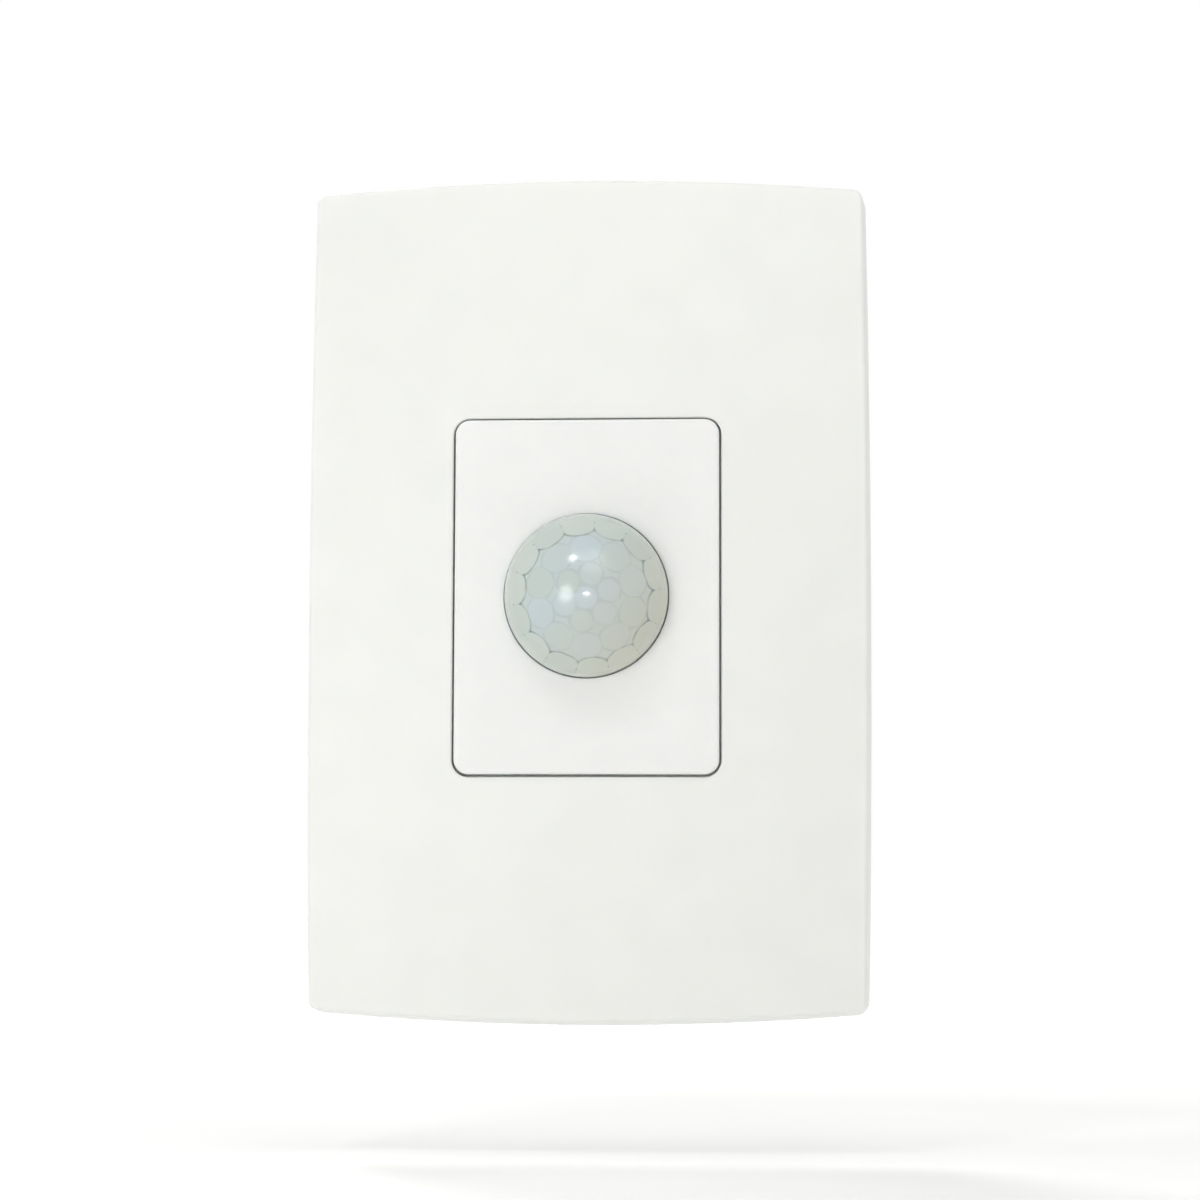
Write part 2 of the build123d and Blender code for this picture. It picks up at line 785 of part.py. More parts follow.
# Relay base, case and magnet
with BuildPart() as relay_base:
    inner_size = (relay_width - 2 * relay_case_wall, relay_height - 2 * relay_case_wall)
    base_front = board_back - stand_off
    base_size = [side - 2 * relay_base_gap for side in inner_size]
    base_back = base_front - relay_base_wall
    block(*base_size, base_back, base_front, [(relay_x, relay_z)])
    strip_place = (relay_x, fixed_strip_z + fixed_strip_wall / 2)
    strip_way = (contact_radius + 2 * hole_gap, fixed_strip_wall + 2 * hole_gap)
    block(*strip_way, base_back, base_front, [strip_place], Mode.SUBTRACT)
finish(relay_base, "relay_base")

with BuildPart() as relay_case:
    slab(relay_width, relay_height, relay_case_wall, -relay_back, base_front, [(relay_x, relay_z)])
    case_roof = -relay_back + relay_case_wall
    block(*inner_size, case_roof, base_front, [(relay_x, relay_z)], Mode.SUBTRACT)
finish(relay_case, "relay_case")

with BuildPart() as relay_bobbin:
    flange_places = [(relay_x, coil_z)]
    block(coil_flange_size, coil_flange_size, -coil_front - coil_flange_wall, -coil_front, flange_places)
    block(coil_flange_size, coil_flange_size, -coil_back, -coil_back + coil_flange_wall, flange_places)
    peg(coil_hub_radius, -coil_back, -coil_front, flange_places)
    peg(coil_core_radius, -coil_back, -coil_front, flange_places, Mode.SUBTRACT)
finish(relay_bobbin, "relay_bobbin")

with BuildPart() as relay_winding:
    winding_front = -coil_front - coil_flange_wall
    winding_back = -coil_back + coil_flange_wall
    peg(winding_radius, winding_back, winding_front, [(relay_x, coil_z)])
    peg(coil_hub_radius, winding_back, winding_front, [(relay_x, coil_z)], Mode.SUBTRACT)
finish(relay_winding, "relay_winding")

with BuildPart() as relay_yoke:
    with BuildSketch(Plane.YZ.offset(relay_x)):
        with BuildLine():
            Polyline(
                (yoke_front, yoke_low_z),
                (yoke_leg_back, yoke_low_z),
                (yoke_leg_back, yoke_low_z + yoke_wall),
                (yoke_front + yoke_wall, yoke_low_z + yoke_wall),
                (yoke_front + yoke_wall, yoke_high_z),
                (yoke_front, yoke_high_z),
                close=True,
            )
        make_face()
    extrude(amount=yoke_half_width, both=True)
finish(relay_yoke, "relay_yoke")

with BuildPart() as relay_core:
    peg(coil_core_radius, -coil_back, -yoke_front - yoke_wall, [(relay_x, coil_z)])
    peg(pole_head_radius, -pole_head_back, -coil_back, [(relay_x, coil_z)])
finish(relay_core, "relay_core")

# Relay armature with its leaf spring and moving contact, over the fixed contact
with BuildPart() as relay_armature:
    armature_middle = (relay_x, (yoke_low_z + armature_high_z) / 2)
    armature_height = armature_high_z - yoke_low_z
    armature_back = -armature_front - armature_wall
    block(2 * armature_half_width, armature_height, armature_back, -armature_front, [armature_middle])
    with BuildSketch(Plane.YZ.offset(relay_x)):
        with Locations((armature_front, knuckle_z)):
            Circle(knuckle_radius)
    extrude(amount=armature_half_width, both=True)
finish(relay_armature, "relay_armature")

with BuildPart() as relay_moving_contact:
    leaf_middle = (relay_x, (leaf_low_z + leaf_high_z) / 2)
    block(2 * leaf_half_width, leaf_high_z - leaf_low_z, armature_back - leaf_wall, armature_back, [leaf_middle])
    peg(contact_radius, armature_back, armature_back + contact_wall, [(relay_x, contact_z)])
finish(relay_moving_contact, "relay_moving_contact")

with BuildPart() as relay_fixed_contact:
    tab_back = fixed_contact_back - contact_wall
    strip_top_z = fixed_strip_z + fixed_strip_wall
    strip_foot = -board_front - solder_tail
    with BuildSketch(Plane.YZ.offset(relay_x)):
        with BuildLine():
            Polyline(
                (strip_foot, fixed_strip_z),
                (tab_back - fixed_strip_wall, fixed_strip_z),
                (tab_back - fixed_strip_wall, fixed_tab_low_z),
                (tab_back, fixed_tab_low_z),
                (tab_back, strip_top_z),
                (strip_foot, strip_top_z),
                close=True,
            )
        make_face()
    extrude(amount=contact_radius / 2, both=True)
    peg(contact_radius, -fixed_contact_back, -tab_back, [(relay_x, contact_z)])
finish(relay_fixed_contact, "relay_fixed_contact")

# Film capacitor in its box, and the round capacitors in their cans
with BuildPart() as film_capacitor:
    film_front = board_back - stand_off
    slab(film_width, film_height, relay_case_wall, -film_back, film_front, [(film_x, film_z)])
    leads(film_front, [(film_x, film_z + s * film_lead_pitch / 2) for s in sides])
finish(film_capacitor, "film_capacitor")


def round_capacitor(places, radius, back):
    """Stand rolled capacitor cans on the board, each with a crimped groove near its foot."""
    foot = board_back - stand_off
    groove = foot - can_groove_from_foot
    peg(radius, -back, foot, places)
    with BuildSketch(Plane.XZ.offset(groove - can_groove)) as ring:
        with Locations(*places):
            Circle(radius)
            Circle(radius - can_groove, mode=Mode.SUBTRACT)
    extrude(ring.sketch, amount=2 * can_groove, mode=Mode.SUBTRACT)
    for place in places:
        leads(foot, [(place[0], place[1] + s * radius / 2) for s in sides])


with BuildPart() as filter_capacitor:
    round_capacitor([(filter_x, filter_z)], filter_radius, filter_back)
finish(filter_capacitor, "filter_capacitor")

with BuildPart() as timing_capacitors:
    round_capacitor(timing_places, timing_radius, timing_back)
finish(timing_capacitors, "timing_capacitors")

# Rectifier diodes and resistors lying along Z, each on its bent leads
with BuildPart() as rectifier_diodes:
    diode_lift = -board_back + diode_radius + stand_off
    for i in range(diode_count):
        place = (diode_first_x + i * axial_pitch, diode_z)
        axial_part(place, diode_radius, diode_length, diode_span, diode_lift)
finish(rectifier_diodes, "rectifier_diodes")

with BuildPart() as resistors:
    resistor_lift = -board_back + resistor_radius + stand_off
    for i in range(resistor_count):
        place = (diode_first_x + i * axial_pitch, resistor_z)
        axial_part(place, resistor_radius, resistor_length, resistor_span, resistor_lift)
finish(resistors, "resistors")


def transistor(place):
    """Stand a three-legged transistor on the board, its flat side towards +X."""
    foot = board_back - transistor_lift
    peg(transistor_radius, foot - transistor_height, foot, [place])
    cut = (place[0] + transistor_flat + transistor_radius, place[1])
    block(2 * transistor_radius, 2 * transistor_radius, foot - transistor_height, foot, [cut], Mode.SUBTRACT)
    leads(foot, [(place[0], place[1] + step * transistor_pitch) for step in (-1, 0, 1)])


with BuildPart() as voltage_regulator:
    transistor(regulator_place)
finish(voltage_regulator, "voltage_regulator")

with BuildPart() as driver_transistor:
    transistor(driver_place)
finish(driver_transistor, "driver_transistor")

# Surge varistor, a coated disc on edge, and the fuse in its round case
with BuildPart() as surge_varistor:
    varistor_depth = -board_back + varistor_lift + varistor_radius
    with BuildSketch(Plane.YZ.offset(varistor_x)):
        with Locations((varistor_depth, varistor_z)):
            Circle(varistor_radius)
    extrude(amount=varistor_wall / 2, both=True)
    chamfer(surge_varistor.edges(), varistor_wall / 4)
    varistor_feet = [(varistor_x, varistor_z + s * chip_pitch) for s in sides]
    leads(-varistor_depth, varistor_feet)
finish(surge_varistor, "surge_varistor")

with BuildPart() as mains_fuse:
    fuse_front = board_back - stand_off
    peg(fuse_radius, -fuse_back, fuse_front, [(fuse_x, fuse_z)])
    chamfer(mains_fuse.faces().sort_by(Axis.Y)[-1].edges(), relay_case_wall)
    leads(fuse_front, [(fuse_x, fuse_z + s * fuse_pitch / 2) for s in sides])
finish(mains_fuse, "mains_fuse")

# Terminal block: three pockets for the rising clamps, wire ways below, screw ways behind
with BuildPart() as terminal_block:
    block_front = -board_back + stand_off
    with BuildSketch(Plane.YZ):
        with BuildLine():
            Polyline(
                (block_front, block_low_z),
                (block_back, block_low_z),
                (block_back, block_high_z - block_chamfer),
                (block_back - block_chamfer, block_high_z),
                (block_front, block_high_z),
                close=True,
            )
        make_face()
    extrude(amount=block_half_width, both=True)
    screw_places = [(x, pole_z) for x in pole_places]
    pocket_middle = (pocket_low_z + pocket_high_z) / 2
    pocket_places = [(x, pocket_middle) for x in pole_places]
    pocket_height = pocket_high_z - pocket_low_z
    block(2 * pocket_half_width, pocket_height, -pocket_back, -block_front, pocket_places, Mode.SUBTRACT)
    peg(terminal_screw_radius + terminal_head_gap, -block_back, -pocket_back, screw_places, Mode.SUBTRACT)
    head_bore = terminal_head_radius + terminal_head_gap
    peg(head_bore, -block_back, -terminal_head_seat, screw_places, Mode.SUBTRACT)
    for x in pole_places:
        for level, radius in ((block_low_z, wire_radius + entry_flare), (pocket_low_z, wire_radius)):
            with BuildSketch(Plane.XY.offset(level)):
                with Locations((x, -wire_depth)):
                    Circle(radius)
        loft(mode=Mode.SUBTRACT)
finish(terminal_block, "terminal_block")

# Rising clamps, drawn at their open end, and the captive screws that lift them
for number, x in enumerate(pole_places, start=1):
    with BuildPart() as terminal_clamp:
        with BuildSketch(Plane.XY.offset(pole_z)) as loop:
            with BuildLine():
                Polyline(
                    (x - clamp_half_width, clamp_open_front),
                    (x + clamp_half_width, clamp_open_front),
                    (x + clamp_half_width, clamp_open_back),
                    (x - clamp_half_width, clamp_open_back),
                    close=True,
                )
            make_face()
            with BuildLine():
                Polyline(
                    (x - clamp_half_width + clamp_wall, clamp_open_front + clamp_wall),
                    (x + clamp_half_width - clamp_wall, clamp_open_front + clamp_wall),
                    (x + clamp_half_width - clamp_wall, clamp_open_back - clamp_head_wall),
                    (x - clamp_half_width + clamp_wall, clamp_open_back - clamp_head_wall),
                    close=True,
                )
            make_face(mode=Mode.SUBTRACT)
        extrude(amount=clamp_length / 2, both=True)
        thread_radius = terminal_screw_radius + terminal_thread_gap
        roof = -clamp_open_back + clamp_head_wall
        peg(thread_radius, -clamp_open_back, roof, [(x, pole_z)], Mode.SUBTRACT)
    finish(terminal_clamp, f"terminal_clamp_{number}")
    with BuildPart() as terminal_screw:
        screw_tip = -bar_back - terminal_thread_gap
        head_front = -terminal_head_seat - terminal_thread_gap
        head_rear = head_front - terminal_head_height
        peg(terminal_screw_radius, head_front, screw_tip, [(x, pole_z)])
        peg(terminal_head_radius, head_rear, head_front, [(x, pole_z)])
        slot_floor = head_rear + terminal_slot_depth
        block(
            2 * terminal_head_radius,
            terminal_slot_width,
            head_rear,
            slot_floor,
            [(x, pole_z)],
            Mode.SUBTRACT,
        )
    finish(terminal_screw, f"terminal_screw_{number}")

# Contact bars: each lies in a clamp and turns down through the board as a pin
with BuildPart() as terminal_contacts:
    leg_low_z = pole_z + clamp_length / 2 + bar_leg_gap
    leg_high_z = leg_low_z + bar_leg_wall
    leg_foot = -board_back + stand_off
    bar_low_z = pole_z - clamp_length / 2
    for x in pole_places:
        with BuildSketch(Plane.YZ.offset(x)) as bent_bar:
            with BuildLine():
                Polyline(
                    (bar_back, bar_low_z),
                    (bar_back, leg_high_z),
                    (leg_foot, leg_high_z),
                    (leg_foot, leg_low_z),
                    (bar_front, leg_low_z),
                    (bar_front, bar_low_z),
                    close=True,
                )
            make_face()
        extrude(bent_bar.sketch, amount=bar_half_width, both=True)
    pin_places = [(x, (leg_low_z + leg_high_z) / 2) for x in pole_places]
    leads(-leg_foot, pin_places, bar_leg_wall)
finish(terminal_contacts, "terminal_contacts")

# Circuit board, notched round the bosses and drilled for every lead
with BuildPart() as main_board:
    block(board_width, board_height, board_back, board_front)
    notch_x = (board_width - board_notch) / 2
    notch_z = (board_height - board_notch) / 2
    notch_places = [(s * notch_x, t * notch_z) for s in sides for t in sides]
    block(board_notch, board_notch, board_back, board_front, notch_places, Mode.SUBTRACT)
    for size in sorted({hole[1] for hole in board_holes}):
        places = [hole[0] for hole in board_holes if hole[1] == size]
        block(size, size, board_back, board_front, places, Mode.SUBTRACT)
    block(*strip_way, board_back, board_front, [strip_place], Mode.SUBTRACT)
finish(main_board, "main_board")
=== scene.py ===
"""Looks of a wall-box motion sensor switch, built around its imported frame.

The plate, the bezel insert and the lens are what the photograph shows. Behind them are the support
frame, the housing and the electronics, which show when the plate is off or from behind.
Sizes are in millimetres where a name ends in _mm, and in metres elsewhere. Angles are in degrees,
apart from those whose name says radians.
"""

import logging
from collections.abc import Callable
from dataclasses import dataclass
from enum import Enum
from functools import partial
from math import cos, pi, radians, sin

import bmesh
import bpy
from mathutils import Matrix, Vector


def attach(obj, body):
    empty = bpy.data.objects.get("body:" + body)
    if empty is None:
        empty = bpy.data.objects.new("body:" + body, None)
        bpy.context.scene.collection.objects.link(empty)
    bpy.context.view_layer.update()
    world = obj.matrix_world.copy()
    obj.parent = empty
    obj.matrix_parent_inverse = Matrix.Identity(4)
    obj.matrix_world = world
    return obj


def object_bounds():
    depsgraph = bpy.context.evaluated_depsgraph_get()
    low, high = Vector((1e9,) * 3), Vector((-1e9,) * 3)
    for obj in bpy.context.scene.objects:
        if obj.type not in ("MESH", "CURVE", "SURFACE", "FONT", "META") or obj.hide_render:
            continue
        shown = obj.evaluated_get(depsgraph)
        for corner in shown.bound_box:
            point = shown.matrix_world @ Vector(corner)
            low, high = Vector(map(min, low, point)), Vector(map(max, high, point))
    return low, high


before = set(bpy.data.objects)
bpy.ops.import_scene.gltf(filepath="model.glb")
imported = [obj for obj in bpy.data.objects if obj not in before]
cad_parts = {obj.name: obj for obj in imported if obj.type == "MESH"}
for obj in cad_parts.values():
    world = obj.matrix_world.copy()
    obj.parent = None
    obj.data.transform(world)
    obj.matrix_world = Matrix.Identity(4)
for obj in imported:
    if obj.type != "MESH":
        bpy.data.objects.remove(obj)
cad_low, cad_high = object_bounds()

LOG = logging.getLogger("switch")
MM = 0.001
# Further than any piece reaches, for a part that has leads at one end only
FAR_MM = 40.0
IMAGE_PX = 1200
SENSOR_MM = 36.0
WHITE = "#FFFFFF"
# How far a wave texture turns over one unit of length
WAVE_RADIANS = 20

Node = bpy.types.Node
Socket = bpy.types.NodeSocket
Feed = Node | Socket | float
Tree = bpy.types.NodeTree
# add_node with its tree given, which the finishes pass round
Add = Callable[..., Node]
Shape = bmesh.types.BMesh


def linear(colour: str) -> tuple[float, float, float, float]:
    """Turn an sRGB hex colour into linear values with full alpha.

    Args:
        colour: The colour, such as "#F1F1EE".

    Returns:
        Red, green, blue and alpha as the shaders take them.
    """
    parts = [int(colour[i : i + 2], 16) / 255 for i in (1, 3, 5)]
    turned = [c / 12.92 if c <= 0.04045 else ((c + 0.055) / 1.055) ** 2.4 for c in parts]
    return (*turned, 1.0)


def add_node(
    tree: Tree, kind: str, sockets: dict | None = None, stops: tuple = (), **settings: object
) -> Node:
    """Add a shader node with its settings and what feeds its sockets.

    Args:
        tree: The node tree that gets the node.
        kind: The node's type without its first word, such as "Bump" for ShaderNodeBump.
        sockets: Input names or numbers, each with a value, with the output that feeds it, or with
            the node whose first output does.
        stops: For a colour ramp, places from 0 to 1, each with its sRGB hex colour.
        settings: Properties of the node itself, such as operation="MULTIPLY".

    Returns:
        The new node.
    """
    node = tree.nodes.new(f"ShaderNode{kind}")
    for name, value in settings.items():
        setattr(node, name, value)
    for name, value in (sockets or {}).items():
        source = value.outputs[0] if isinstance(value, Node) else value
        if isinstance(source, Socket):
            tree.links.new(source, node.inputs[name])
        else:
            node.inputs[name].default_value = source
    for i, (place, colour) in enumerate(stops):
        stop = node.color_ramp.elements[i] if i < 2 else node.color_ramp.elements.new(1.0)
        stop.position = place
        stop.color = linear(colour)
    return node


@dataclass(frozen=True)
class Finish:
    """What every finish has: its name, and a new material that its own nodes fill."""

    name: str

    def material(self) -> bpy.types.Material:
        """Make the material and let the finish fill it.

        Returns:
            The new material.
        """
        made = bpy.data.materials.new(self.name)
        made.use_nodes = True
        made.node_tree.nodes.clear()
        add = partial(add_node, made.node_tree)
        add("OutputMaterial", {"Surface": self.surface(add)})
        return made

    def surface(self, add: Add) -> Node:
        """Build the nodes, and return the shader that they end in."""
        return add("BsdfPrincipled", self.coat(add))

    def coat(self, add: Add) -> dict:
        """Build the nodes of a finish with one shader, and return what feeds each of its sockets."""
        raise NotImplementedError

    def places(self, add: Add, stretch: tuple = (1.0, 1.0, 1.0)) -> Node:
        """Give each point's place on the piece in millimetres.

        Args:
            add: Adds a node to the tree.
            stretch: How much closer a pattern's marks lie along X, Y and Z.

        Returns:
            The node that gives the place.
        """
        place = add("TexCoord").outputs["Object"]
        return add("Mapping", {"Vector": place, "Scale": tuple(s / MM for s in stretch)})


@dataclass(frozen=True)
class MouldedPlastic(Finish):
    """Injection-moulded plastic: a soft gloss, a fine mould grain, and faint waves where it flowed."""

    light: str
    dark: str
    roughness: float = 0.45
    ior: float = 1.53
    grain_mm: float = 0.4
    grain_depth_mm: float = 0.003
    flow_mm: float = 9.0
    flow_depth_mm: float = 0.008
    dark_at: float = 0.35
    light_at: float = 0.65
    gloss_swing: float = 0.05
    scatter: float = 0.0
    scatter_mm: float = 1.0
    scatter_tint: tuple = (1.1, 1.0, 0.9)

    def coat(self, add: Add) -> dict:
        """Drift between two near tones with the flow, and lay the grain over its waves.

        Args:
            add: Adds a node to the tree.

        Returns:
            What feeds the shader.
        """
        place = self.places(add)
        flow = add("TexNoise", {"Vector": place, "Scale": 1 / self.flow_mm, "Detail": 1.0})
        grain = add("TexNoise", {"Vector": place, "Scale": 1 / self.grain_mm, "Detail": 3.0})
        low, high = self.roughness - self.gloss_swing, self.roughness + self.gloss_swing
        waves = add("Bump", {"Height": flow, "Distance": self.flow_depth_mm * MM})
        ripples = {"Height": grain, "Distance": self.grain_depth_mm * MM, "Normal": waves}
        stops = ((self.dark_at, self.dark), (self.light_at, self.light))
        return {
            "Base Color": add("ValToRGB", {"Fac": flow}, stops),
            "Roughness": add("MapRange", {"Value": grain, "To Min": low, "To Max": high}),
            "IOR": self.ior,
            "Subsurface Weight": self.scatter,
            "Subsurface Radius": self.scatter_tint,
            "Subsurface Scale": self.scatter_mm * MM,
            "Normal": add("Bump", ripples),
        }


@dataclass(frozen=True)
class SparkErodedPlastic(Finish):
    """Plastic from a spark-eroded mould: an even field of tiny pits with painted shade in them, paler on the
    lands between.
    """

    land: str
    pit: str
    roughness: float = 0.55
    ior: float = 1.53
    pit_mm: float = 0.45
    pit_depth_mm: float = 0.02
    cloud_mm: float = 11.0
    cloud_share: float = 0.75
    pit_at: float = 0.4
    land_at: float = 1.0
    gloss_swing: float = 0.06

    def coat(self, add: Add) -> dict:
        """Pit the surface with soft cells, shade the pits in paint, and cloud its tone and gloss a little.

        Args:
            add: Adds a node to the tree.

        Returns:
            What feeds the shader.
        """
        place = self.places(add)
        pits = add("TexVoronoi", {"Vector": place, "Scale": 1 / self.pit_mm}, feature="SMOOTH_F1")
        cloud = add("TexNoise", {"Vector": place, "Scale": 1 / self.cloud_mm, "Detail": 2.0})
        mixed = add("Math", {0: cloud, 1: self.cloud_share, 2: pits}, operation="MULTIPLY_ADD")
        low, high = self.roughness - self.gloss_swing, self.roughness + self.gloss_swing
        # Painted shade: the pits take the darker colour and the lands the paler one, with the clouding mixed
        # in
        stops = ((self.pit_at, self.pit), (self.land_at, self.land))
        return {
            "Base Color": add("ValToRGB", {"Fac": mixed}, stops),
            "Roughness": add("MapRange", {"Value": cloud, "To Min": low, "To Max": high}),
            "IOR": self.ior,
            "Normal": add("Bump", {"Height": pits, "Distance": self.pit_depth_mm * MM}),
        }


@dataclass(frozen=True)
class GlassFilledPlastic(Finish):
    """Polyamide filled with short glass: matt, with pale fibre ends streaked along the flow."""

    resin: str
    fibre: str
    roughness: float = 0.58
    ior: float = 1.54
    fibre_mm: float = 0.5
    fibre_height_mm: float = 0.02
    streak: tuple = (1.0, 1.0, 0.25)
    resin_at: float = 0.5
    fibre_at: float = 0.8
    cloud_mm: float = 14.0
    gloss_swing: float = 0.08

    def coat(self, add: Add) -> dict:
        """Draw the fibres as stretched noise cut high, raise them a little, and cloud the gloss.

        Args:
            add: Adds a node to the tree.

        Returns:
            What feeds the shader.
        """
        place, streaked = self.places(add), self.places(add, self.streak)
        fibres = add("TexNoise", {"Vector": streaked, "Scale": 1 / self.fibre_mm, "Detail": 2.0})
        cloud = add("TexNoise", {"Vector": place, "Scale": 1 / self.cloud_mm, "Detail": 1.0})
        low, high = self.roughness - self.gloss_swing, self.roughness + self.gloss_swing
        stops = ((self.resin_at, self.resin), (self.fibre_at, self.fibre))
        return {
            "Base Color": add("ValToRGB", {"Fac": fibres}, stops),
            "Roughness": add("MapRange", {"Value": cloud, "To Min": low, "To Max": high}),
            "IOR": self.ior,
            "Normal": add("Bump", {"Height": fibres, "Distance": self.fibre_height_mm * MM}),
        }


@dataclass(frozen=True)
class PlatedMetal(Finish):
    """Drawn or pressed metal under thin plating: bright, clouded, with fine draw lines one way."""

    light: str
    dark: str
    roughness: float = 0.3
    duller: float = 0.08
    brighter: float = 0.06
    line_mm: float = 0.15
    line_depth_mm: float = 0.003
    along: tuple = (1.0, 0.1, 1.0)
    cloud_mm: float = 1.8
    dark_at: float = 0.35
    light_at: float = 0.65

    def coat(self, add: Add) -> dict:
        """Cloud the plating's tone and gloss, and bump it with lines along one direction.

        Args:
            add: Adds a node to the tree.

        Returns:
            What feeds the shader.
        """
        place, drawn = self.places(add), self.places(add, self.along)
        cloud = add("TexNoise", {"Vector": place, "Scale": 1 / self.cloud_mm, "Detail": 3.0})
        lines = add("TexNoise", {"Vector": drawn, "Scale": 1 / self.line_mm, "Detail": 2.0})
        dull, bright = self.roughness + self.duller, self.roughness - self.brighter
        stops = ((self.dark_at, self.dark), (self.light_at, self.light))
        return {
            "Base Color": add("ValToRGB", {"Fac": cloud}, stops),
            "Metallic": 1.0,
            "Roughness": add("MapRange", {"Value": cloud, "To Min": dull, "To Max": bright}),
            "Normal": add("Bump", {"Height": lines, "Distance": self.line_depth_mm * MM}),
        }


@dataclass(frozen=True)
class SolderMask(Finish):
    """Glass-epoxy board under green solder mask: copper tracks stand paler over the woven glass."""

    copper: str = "#2A7D48"
    bare: str = "#15502C"
    roughness: float = 0.32
    ior: float = 1.5
    track_mm: float = 2.4
    track_height_mm: float = 0.03
    track_edge: tuple = (0.56, 0.58)
    track_runs: tuple = ((0.25, 0.0, 1.0), (1.0, 0.0, 0.25))
    thread_mm: float = 0.5
    thread_height_mm: float = 0.006

    def coat(self, add: Add) -> dict:
        """Step two crossing runs of noise into tracks, and weave two waves below them.

        Args:
            add: Adds a node to the tree.

        Returns:
            What feeds the shader.
        """
        runs, threads = {}, {}
        for i, stretch in enumerate(self.track_runs):
            place = self.places(add, stretch)
            runs[i] = add("TexNoise", {"Vector": place, "Scale": 1 / self.track_mm, "Detail": 0.0})
        # One wave is two pi threads wide, coarser than the real cloth, so that it shows
        for i, way in enumerate(("X", "Z")):
            wave = {"Vector": self.places(add), "Scale": 1 / (self.thread_mm * WAVE_RADIANS)}
            threads[i] = add("TexWave", wave, bands_direction=way).outputs["Fac"]
        either = add("Math", runs, operation="MAXIMUM")
        low, high = self.track_edge
        copper = add("MapRange", {"Value": either, "From Min": low, "From Max": high})
        weave = add("Math", threads, operation="MULTIPLY")
        cloth = add("Bump", {"Height": weave, "Distance": self.thread_height_mm * MM})
        tracks = {"Height": copper, "Distance": self.track_height_mm * MM, "Normal": cloth}
        return {
            "Base Color": add("ValToRGB", {"Fac": copper}, ((0.0, self.bare), (1.0, self.copper))),
            "Roughness": self.roughness,
            "IOR": self.ior,
            "Normal": add("Bump", tracks),
        }


@dataclass(frozen=True)
class BandedLacquer(Finish):
    """Lacquered axial part: a body tone with painted bands across its length."""

    body: str
    bands: tuple
    first_mm: float
    pitch_mm: float
    band_mm: float
    roughness: float = 0.3
    ior: float = 1.5
    dimple_mm: float = 1 / 1.2
    dimple_depth_mm: float = 0.02
    # The first band starts a hair above the stop at 0, which carries the body's tone
    stop_gap: float = 0.001

    def coat(self, add: Add) -> dict:
        """Step a colour ramp up the part, so that the bands are crisp, and dimple the lacquer.

        Args:
            add: Adds a node to the tree.

        Returns:
            What feeds the shader.
        """
        place = self.places(add)
        upward = add("SeparateXYZ", {"Vector": place}).outputs["Z"]
        length_mm = self.pitch_mm * len(self.bands)
        span = {"From Min": self.first_mm, "From Max": self.first_mm + length_mm}
        run = add("MapRange", {"Value": upward, **span})
        stops = [(0.0, self.body)]
        for i, colour in enumerate(self.bands):
            start = i / len(self.bands)
            stops.append((start + self.stop_gap, colour))
            stops.append((start + self.band_mm / length_mm, self.body))
        painted = add("ValToRGB", {"Fac": run}, tuple(stops))
        painted.color_ramp.interpolation = "CONSTANT"
        dimples = add("TexNoise", {"Vector": place, "Scale": 1 / self.dimple_mm})
        return {
            "Base Color": painted,
            "Roughness": self.roughness,
            "IOR": self.ior,
            "Normal": add("Bump", {"Height": dimples, "Distance": self.dimple_depth_mm * MM}),
        }


@dataclass(frozen=True)
class WoundCopper(Finish):
    """Enamelled copper wire in close turns: amber metal, ribbed across the way that it is wound."""

    light: str = "#C8763A"
    dark: str = "#7A3A16"
    wire_mm: float = 0.25
    rib_height_mm: float = 0.1
    dark_at: float = 0.1
    light_at: float = 0.6
    metallic: float = 0.9
    gloss: tuple = (0.45, 0.22)

    def coat(self, add: Add) -> dict:
        """Rib the surface along Y, dark with painted shade and dull in the grooves.

        Args:
            add: Adds a node to the tree.

        Returns:
            What feeds the shader.
        """
        # One rib is two pi wires wide, coarser than the real winding, so that it shows
        wave = {"Vector": self.places(add), "Scale": 1 / (self.wire_mm * WAVE_RADIANS)}
        turns = add("TexWave", wave, bands_direction="Y").outputs["Fac"]
        dull, bright = self.gloss
        # Painted shade: the ribs' colour darkens into the grooves between the turns
        stops = ((self.dark_at, self.dark), (self.light_at, self.light))
        return {
            "Base Color": add("ValToRGB", {"Fac": turns}, stops),
            "Metallic": self.metallic,
            "Roughness": add("MapRange", {"Value": turns, "To Min": dull, "To Max": bright}),
            "Normal": add("Bump", {"Height": turns, "Distance": self.rib_height_mm * MM}),
        }


@dataclass(frozen=True)
class TintedGlass(Finish):
    """Clear or tinted glass or resin, with a faint waviness in its polish."""

    tint: str
    ior: float = 1.5
    roughness: float = 0.05
    haze: float = 0.06
    transmission: float = 0.9
    wave_mm: float = 1 / 1.1
    wave_depth_mm: float = 0.004

    def coat(self, add: Add) -> dict:
        """Let most light through, tinted, with a slightly uneven surface.

        Args:
            add: Adds a node to the tree.

        Returns:
            What feeds the shader.
        """
        waves = add("TexNoise", {"Vector": self.places(add), "Scale": 1 / self.wave_mm})
        low, high = self.roughness, self.roughness + self.haze
        return {
            "Base Color": linear(self.tint),
            "Roughness": add("MapRange", {"Value": waves, "To Min": low, "To Max": high}),
            "IOR": self.ior,
            "Transmission Weight": self.transmission,
            "Normal": add("Bump", {"Height": waves, "Distance": self.wave_depth_mm * MM}),
        }


